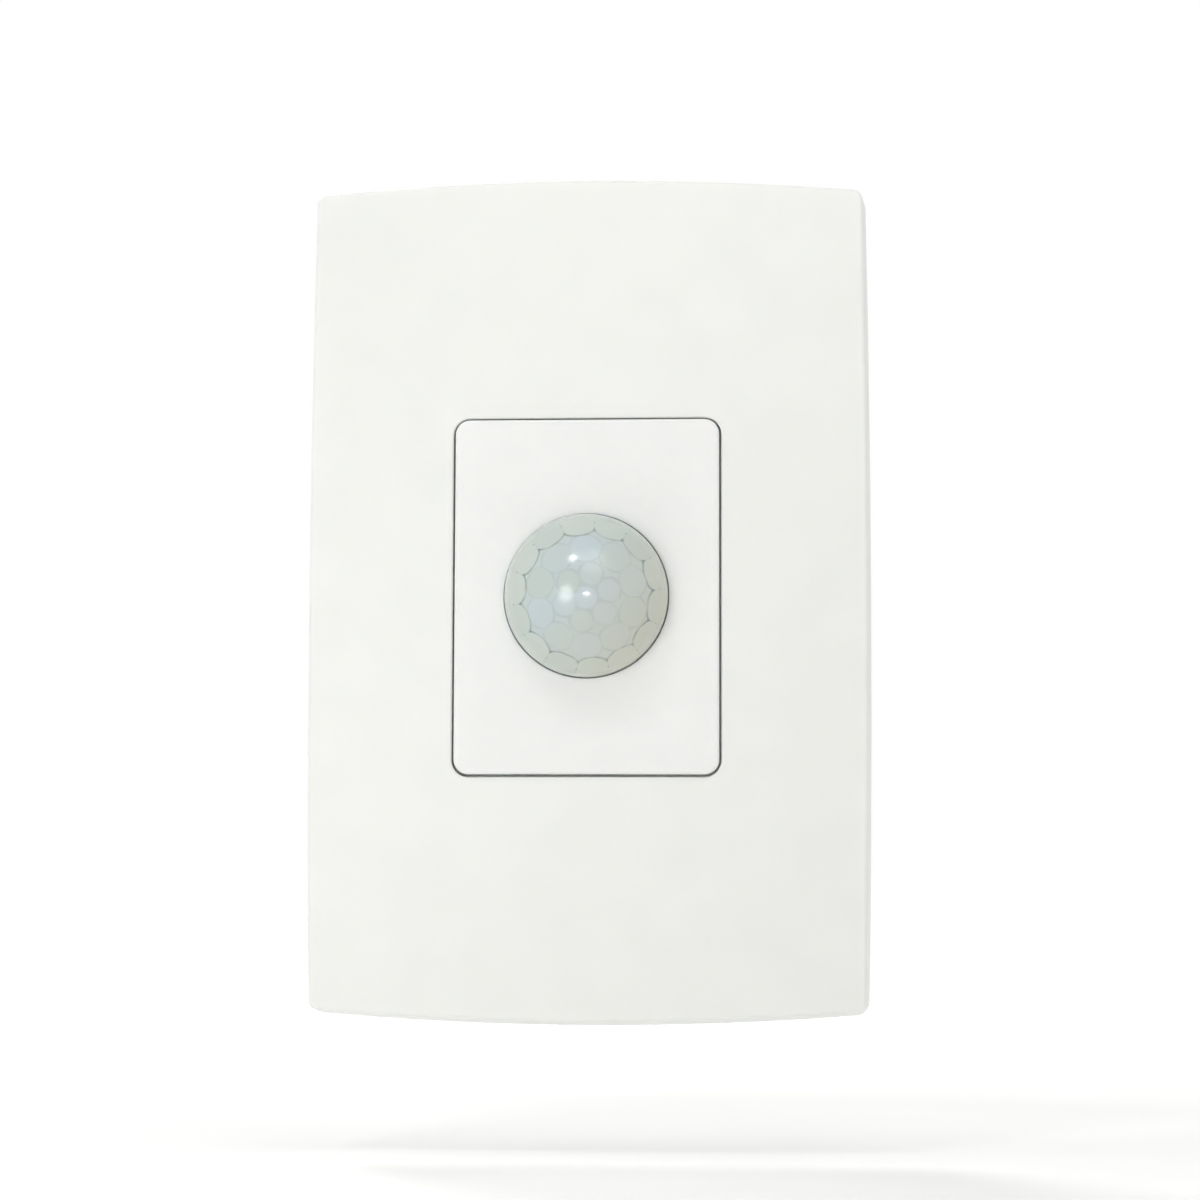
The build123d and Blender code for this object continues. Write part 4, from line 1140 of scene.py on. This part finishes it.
@dataclass
class RearHousing(SubAssembly):
    """The housing, with a raised mark under each terminal: mains, lamp and neutral."""

    title: str = "rear housing"
    back_mm: float = 20.0
    mark_z_mm: float = -30.9
    pitch_mm: float = 9.0
    mark_height_mm: float = 2.0
    proud_mm: float = 0.3
    lamp_radius_mm: float = 1.0
    lamp_stroke_mm: float = 0.25
    lamp_cross_turn: float = 45.0
    lamp_shoulder: float = 0.7
    lamp_steps: int = 28

    def finishes(self) -> dict[str, Finish]:
        """Say what the housing and its screws are made of."""
        return {"rear_housing": HOUSING_ABS, "housing_screws": ZINC_STEEL}

    def pieces(self) -> list[bpy.types.Object]:
        """Add the two letters and the lamp sign.

        Returns:
            The new pieces.
        """
        made = []
        for side, word in ((1, "L"), (-1, "N")):
            place = facing_wall(side * self.pitch_mm, -self.back_mm, self.mark_z_mm)
            label = self.letters(word, self.mark_height_mm, self.proud_mm, place)
            made.append(self.place_piece(f"terminal_mark_{word}", label, HOUSING_ABS, "housing_plastic"))
        shape = bmesh.new()
        middle = facing_wall(0.0, -self.back_mm, self.mark_z_mm)
        for side in (-1, 1):
            leg = middle @ Matrix.Rotation(side * radians(self.lamp_cross_turn), 4, "Z")
            self.bar(shape, leg, (self.lamp_stroke_mm, 2 * self.lamp_radius_mm, self.proud_mm))
        self.lamp_ring(shape, middle)
        sign = self.mesh_of("terminal_mark_lamp", shape)
        made.append(self.place_piece(sign.name, sign, HOUSING_ABS, "housing_plastic"))
        return made

    def lamp_ring(self, shape: Shape, place: Matrix) -> None:
        """Add the raised ring of the lamp sign.

        Args:
            shape: The shape that gets it.
            place: Where its middle is.
        """
        half, shoulder = self.lamp_stroke_mm / 2, self.proud_mm * self.lamp_shoulder
        inner, outer = self.lamp_radius_mm - half, self.lamp_radius_mm + half
        top = (self.lamp_radius_mm, self.proud_mm)
        turns = [2 * pi * k / self.lamp_steps for k in range(self.lamp_steps)]
        rings = []
        for radius, level in ((inner, 0.0), (inner, shoulder), top, (outer, shoulder), (outer, 0.0)):
            points = [Vector((radius * cos(t), radius * sin(t), level)) * MM for t in turns]
            rings.append([shape.verts.new(place @ point) for point in points])
        self.wrap(shape, rings, closed=True)


@dataclass
class Sensor(SubAssembly):
    """The infrared sensor on its spacer, with the light cell and the indicator lamp beside it.

    The two sizes are where the bodies of the cell and of the lamp end and their leads start.
    """

    title: str = "sensor"
    photocell_end_mm: float = -6.6
    lamp_end_mm: float = -5.2

    def finishes(self) -> dict[str, Finish]:
        """Say what each part under the lens is made of.

        Returns:
            The finish of each node.
        """
        return {
            "sensor_can": NICKEL_CAN,
            "sensor_window": FILTER_PANE,
            "sensor_base": NICKEL_CAN,
            "sensor_elements": SENSOR_CERAMIC,
            "sensor_leads": TINNED_COPPER,
            "sensor_spacer": EPOXY_COMPOUND,
            "photocell": Leaded("leaded_photocell", PHOTOCELL_CERAMIC, high_mm=self.photocell_end_mm),
            "indicator_led": Leaded("leaded_lamp", LAMP_EPOXY, high_mm=self.lamp_end_mm),
        }


@dataclass
class Relay(SubAssembly):
    """The relay, with its case, its magnet and its two contacts."""

    title: str = "relay"

    def finishes(self) -> dict[str, Finish]:
        """Say what each part of the relay is made of.

        Returns:
            The finish of each node.
        """
        return {
            "relay_base": EPOXY_COMPOUND,
            "relay_case": RELAY_POLYESTER,
            "relay_bobbin": EPOXY_COMPOUND,
            "relay_winding": COPPER_WINDING,
            "relay_core": SOFT_IRON,
            "relay_yoke": SOFT_IRON,
            "relay_armature": SOFT_IRON,
            "relay_moving_contact": BRASS_STRIP,
            "relay_fixed_contact": BRASS_STRIP,
        }


@dataclass
class SmallParts(SubAssembly):
    """The small parts on the board.

    The sizes are where the bodies of the parts with leads start and end: along Y for those whose
    leads go through the board, and along Z for the diodes and the resistors.
    """

    title: str = "small parts"
    can_seat_mm: float = 5.0
    varistor_seat_mm: float = 5.4
    transistor_seat_mm: float = 6.3
    trimmer_seat_mm: float = 3.0
    diode_mm: tuple = (-11.2, -6.0)
    resistor_mm: tuple = (-19.85, -13.55)

    def finishes(self) -> dict[str, Finish]:
        """Say what each small part is made of.

        Returns:
            The finish of each node.
        """
        transistor = Leaded("leaded_transistor", EPOXY_COMPOUND, low_mm=self.transistor_seat_mm)
        trimmer = Leaded("leaded_trimmer", TRIMMER_ACETAL, high_mm=self.trimmer_seat_mm)
        return {
            "control_chip": EPOXY_COMPOUND,
            "chip_pins": TINNED_COPPER,
            "film_capacitor": Leaded("leaded_film_box", FILM_POLYESTER, low_mm=self.can_seat_mm),
            "filter_capacitor": Leaded("leaded_filter_can", FILTER_SLEEVE, low_mm=self.can_seat_mm),
            "timing_capacitors": Leaded("leaded_timing_can", TIMING_SLEEVE, low_mm=self.can_seat_mm),
            "rectifier_diodes": Leaded("leaded_diode", DIODE_EPOXY, *self.diode_mm, Axis.ALONG),
            "resistors": Leaded("leaded_resistor", RESISTOR_LACQUER, *self.resistor_mm, Axis.ALONG),
            "voltage_regulator": transistor,
            "driver_transistor": transistor,
            "surge_varistor": Leaded("leaded_varistor", VARISTOR_EPOXY, low_mm=self.varistor_seat_mm),
            "mains_fuse": Leaded("leaded_fuse", EPOXY_COMPOUND, low_mm=self.can_seat_mm),
            "time_trimmer_body": trimmer,
            "light_trimmer_body": trimmer,
            "time_trimmer_rotor": ROTOR_ACETAL,
            "light_trimmer_rotor": ROTOR_ACETAL,
        }


@dataclass
class Terminals(SubAssembly):
    """The terminal block, with a clamp and a screw for each wire."""

    title: str = "terminals"
    wires: int = 3

    def finishes(self) -> dict[str, Finish]:
        """Say what the block, its contacts, its clamps and its screws are made of.

        Returns:
            The finish of each node.
        """
        made = {"terminal_block": TERMINAL_POLYAMIDE, "terminal_contacts": BRASS_STRIP}
        for number in range(1, self.wires + 1):
            made[f"terminal_clamp_{number}"] = ZINC_STEEL
            made[f"terminal_screw_{number}"] = ZINC_STEEL
        return made


@dataclass
class CircuitBoard(SubAssembly):
    """The board, with a solder cone round every lead on the side where its end comes out."""

    title: str = "circuit board"
    front_mm: float = 3.2
    back_mm: float = 4.8
    tail_mm: float = 1.2
    foot_mm: float = 0.85
    top_mm: float = 0.36
    height_mm: float = 0.75
    hollow: float = 2.2
    sides: int = 10
    steps: int = 4
    level_play_mm: float = 0.01
    lead_reach_mm: float = 1.2
    lead_nodes: tuple = (
        "sensor_leads",
        "photocell",
        "indicator_led",
        "chip_pins",
        "time_trimmer_body",
        "light_trimmer_body",
        "film_capacitor",
        "filter_capacitor",
        "timing_capacitors",
        "rectifier_diodes",
        "resistors",
        "voltage_regulator",
        "driver_transistor",
        "surge_varistor",
        "mains_fuse",
        "terminal_contacts",
    )

    def finishes(self) -> dict[str, Finish]:
        """Say what the board is made of."""
        return {"main_board": BOARD_LAMINATE}

    def lead_ends(self, node: str, level_mm: float) -> list[Vector]:
        """Find the middle of each lead end of a node at one level.

        Args:
            node: The node that has the leads.
            level_mm: The Y of the lead ends.

        Returns:
            One point for each lead.
        """
        groups: list[list[Vector]] = []
        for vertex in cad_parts[node].data.vertices:
            if abs(vertex.co.y - level_mm * MM) >= self.level_play_mm * MM:
                continue
            near = (group for group in groups if (group[0] - vertex.co).length < self.lead_reach_mm * MM)
            group = next(near, None)
            if group is None:
                groups.append([vertex.co.copy()])
            else:
                group.append(vertex.co.copy())
        return [sum(group, Vector()) / len(group) for group in groups]

    def pieces(self) -> list[bpy.types.Object]:
        """Turn one cone for each lead end, and join those of one side of the board.

        Returns:
            The new pieces.
        """
        made = []
        for name, seat, turned in (("front_solder", self.front_mm, -1), ("back_solder", self.back_mm, 1)):
            shape = bmesh.new()
            for node in self.lead_nodes:
                for end in self.lead_ends(node, seat + turned * self.tail_mm):
                    self.cone(shape, Vector((end.x, seat * MM, end.z)), turned)
            mesh = self.mesh_of(name, shape)
            mesh.shade_smooth()
            made.append(self.place_piece(name, mesh, SOLDER, "tinned_wire"))
        return made

    def cone(self, shape: Shape, seat: Vector, turned: int) -> None:
        """Add one hollow-sided cone that stands on the board.

        Args:
            shape: The shape that gets it.
            seat: The middle of its foot.
            turned: -1 where it points to the room, 1 where it points to the wall box.
        """
        turns = [2 * pi * k / self.sides for k in range(self.sides)]
        rings = []
        for i in range(self.steps + 1):
            rise = i / self.steps
            radius = (self.top_mm + (self.foot_mm - self.top_mm) * (1 - rise) ** self.hollow) * MM
            level = seat.y + turned * rise * self.height_mm * MM
            points = [(seat.x + radius * cos(t), level, seat.z + radius * sin(t)) for t in turns]
            rings.append([shape.verts.new(point) for point in points])
        self.wrap(shape, rings)


class Lamp(Enum):
    """The soft lamps: azimuth and elevation in degrees, distance and size in metres, watts.

    LEFT stands near, so the plate grows darker away from it, and gives the lens its broad highlight.
    FILL evens out the top, TOP gives the streak above, FRONT the point in the middle, and BACK only
    lights the back.
    """

    LEFT = (-24.0, -2.0, 0.28, 0.1, 0.116)
    FILL = (15.0, 42.0, 0.2, 0.12, 0.048)
    TOP = (-20.0, 47.0, 0.45, 0.085, 0.2)
    FRONT = (4.3, -4.2, 1.0, 0.09, 1.3)
    BACK = (205.0, 35.0, 1.0, 0.4, 4.0)


@dataclass
class Studio:
    """A pale floor in a light tent, soft lamps, and the camera where the photograph was taken."""

    azimuth: float = 3.8
    elevation: float = -5.6
    distance: float = 0.442
    lens_mm: float = 93.6
    roll: float = 0.2
    clip: tuple = (0.01, 20.0)
    centre_px: tuple = (588.6, 599.1)
    aim: tuple = (0.0, -0.004, 0.0)
    floor_drop_mm: float = 18.0
    floor_reach: float = 6.0
    end_light: float = 0.2
    wall_light: float = 0.95
    wall_starts: tuple = (0.35, 0.6)

    def facing(self, azimuth: float, elevation: float, distance: float) -> Matrix:
        """Place something round the object and turn it to the object.

        Args:
            azimuth: Degrees round from the front, towards the right.
            elevation: Degrees up from level.
            distance: How far from the aim.

        Returns:
            Its matrix.
        """
        a, e = radians(azimuth), radians(elevation)
        outward = Vector((sin(a) * cos(e), -cos(a) * cos(e), sin(e)))
        turned = (-outward).to_track_quat("-Z", "Y").to_matrix().to_4x4()
        return Matrix.Translation(Vector(self.aim) + outward * distance) @ turned

    def camera(self) -> None:
        """Set up the camera, aimed at the plate and shifted to the photograph's framing."""
        data = bpy.data.cameras.new("camera")
        data.lens = self.lens_mm
        data.sensor_width = SENSOR_MM
        data.clip_start, data.clip_end = self.clip
        data.shift_x = (IMAGE_PX / 2 - self.centre_px[0]) / IMAGE_PX
        data.shift_y = (self.centre_px[1] - IMAGE_PX / 2) / IMAGE_PX
        camera = bpy.data.objects.new("camera", data)
        place = self.facing(self.azimuth, self.elevation, self.distance)
        camera.matrix_world = place @ Matrix.Rotation(radians(self.roll), 4, "Z")
        bpy.context.scene.collection.objects.link(camera)
        bpy.context.scene.camera = camera

    def lamps(self) -> None:
        """Hang the soft lamps round the object, each facing it."""
        for lamp in Lamp:
            azimuth, elevation, distance, size, power = lamp.value
            data = bpy.data.lights.new(lamp.name.lower(), "AREA")
            data.shape = "DISK"
            data.size = size
            data.energy = power
            light = bpy.data.objects.new(lamp.name.lower(), data)
            light.matrix_world = self.facing(azimuth, elevation, distance)
            light.visible_camera = False
            bpy.context.scene.collection.objects.link(light)

    def room(self) -> None:
        """Light the room as a tent does, more from its walls than from its two ends, and show it white."""
        world = bpy.data.worlds.new("room")
        world.use_nodes = True
        world.node_tree.nodes.clear()
        add = partial(add_node, world.node_tree)
        direction = add("TexCoord").outputs["Generated"]
        ahead = add("SeparateXYZ", {"Vector": direction}).outputs["Y"]
        along = add("Math", {0: ahead}, operation="ABSOLUTE")
        near, far = self.wall_starts
        fall = {"From Min": near, "From Max": far, "To Min": self.wall_light, "To Max": self.end_light}
        light = add("MapRange", {"Value": along, **fall})
        lit = add("Background", {"Color": linear(WHITE), "Strength": light})
        seen = add("Background", {"Color": linear(WHITE), "Strength": 1.0})
        mix = add("MixShader", {"Fac": shows_room(add), 1: lit, 2: seen})
        add("OutputWorld", {"Surface": mix})
        bpy.context.scene.world = world

    def floor(self) -> None:
        """Lay the floor of white paper below the object. It shows white, and keeps the shadow."""
        level, reach = cad_low[2] - self.floor_drop_mm * MM, self.floor_reach
        corners = ((-reach, -reach), (reach, -reach), (reach, reach), (-reach, reach))
        mesh = bpy.data.meshes.new("floor")
        mesh.from_pydata([(*corner, level) for corner in corners], [], [(0, 1, 2, 3)])
        mesh.materials.append(FLOOR_PAPER.material())
        floor = bpy.data.objects.new("floor", mesh)
        bpy.context.scene.collection.objects.link(floor)

    def build(self) -> None:
        """Set up the whole studio."""
        bpy.context.scene.view_settings.view_transform = "Standard"
        self.camera()
        self.lamps()
        self.room()
        self.floor()
        LOG.info("studio: camera, %d lamps, room and floor", len(Lamp))


def main() -> None:
    """Build the sub-assemblies in order, from the front to the back, and then the studio."""
    logging.basicConfig(level=logging.INFO, format="%(message)s")
    front = (CoverPlate(), SensingModule(), SupportFrame(), RearHousing())
    inside = (Sensor(), Relay(), SmallParts(), Terminals(), CircuitBoard())
    for group in (*front, *inside, Studio()):
        group.build()


if __name__ == "__main__":
    main()
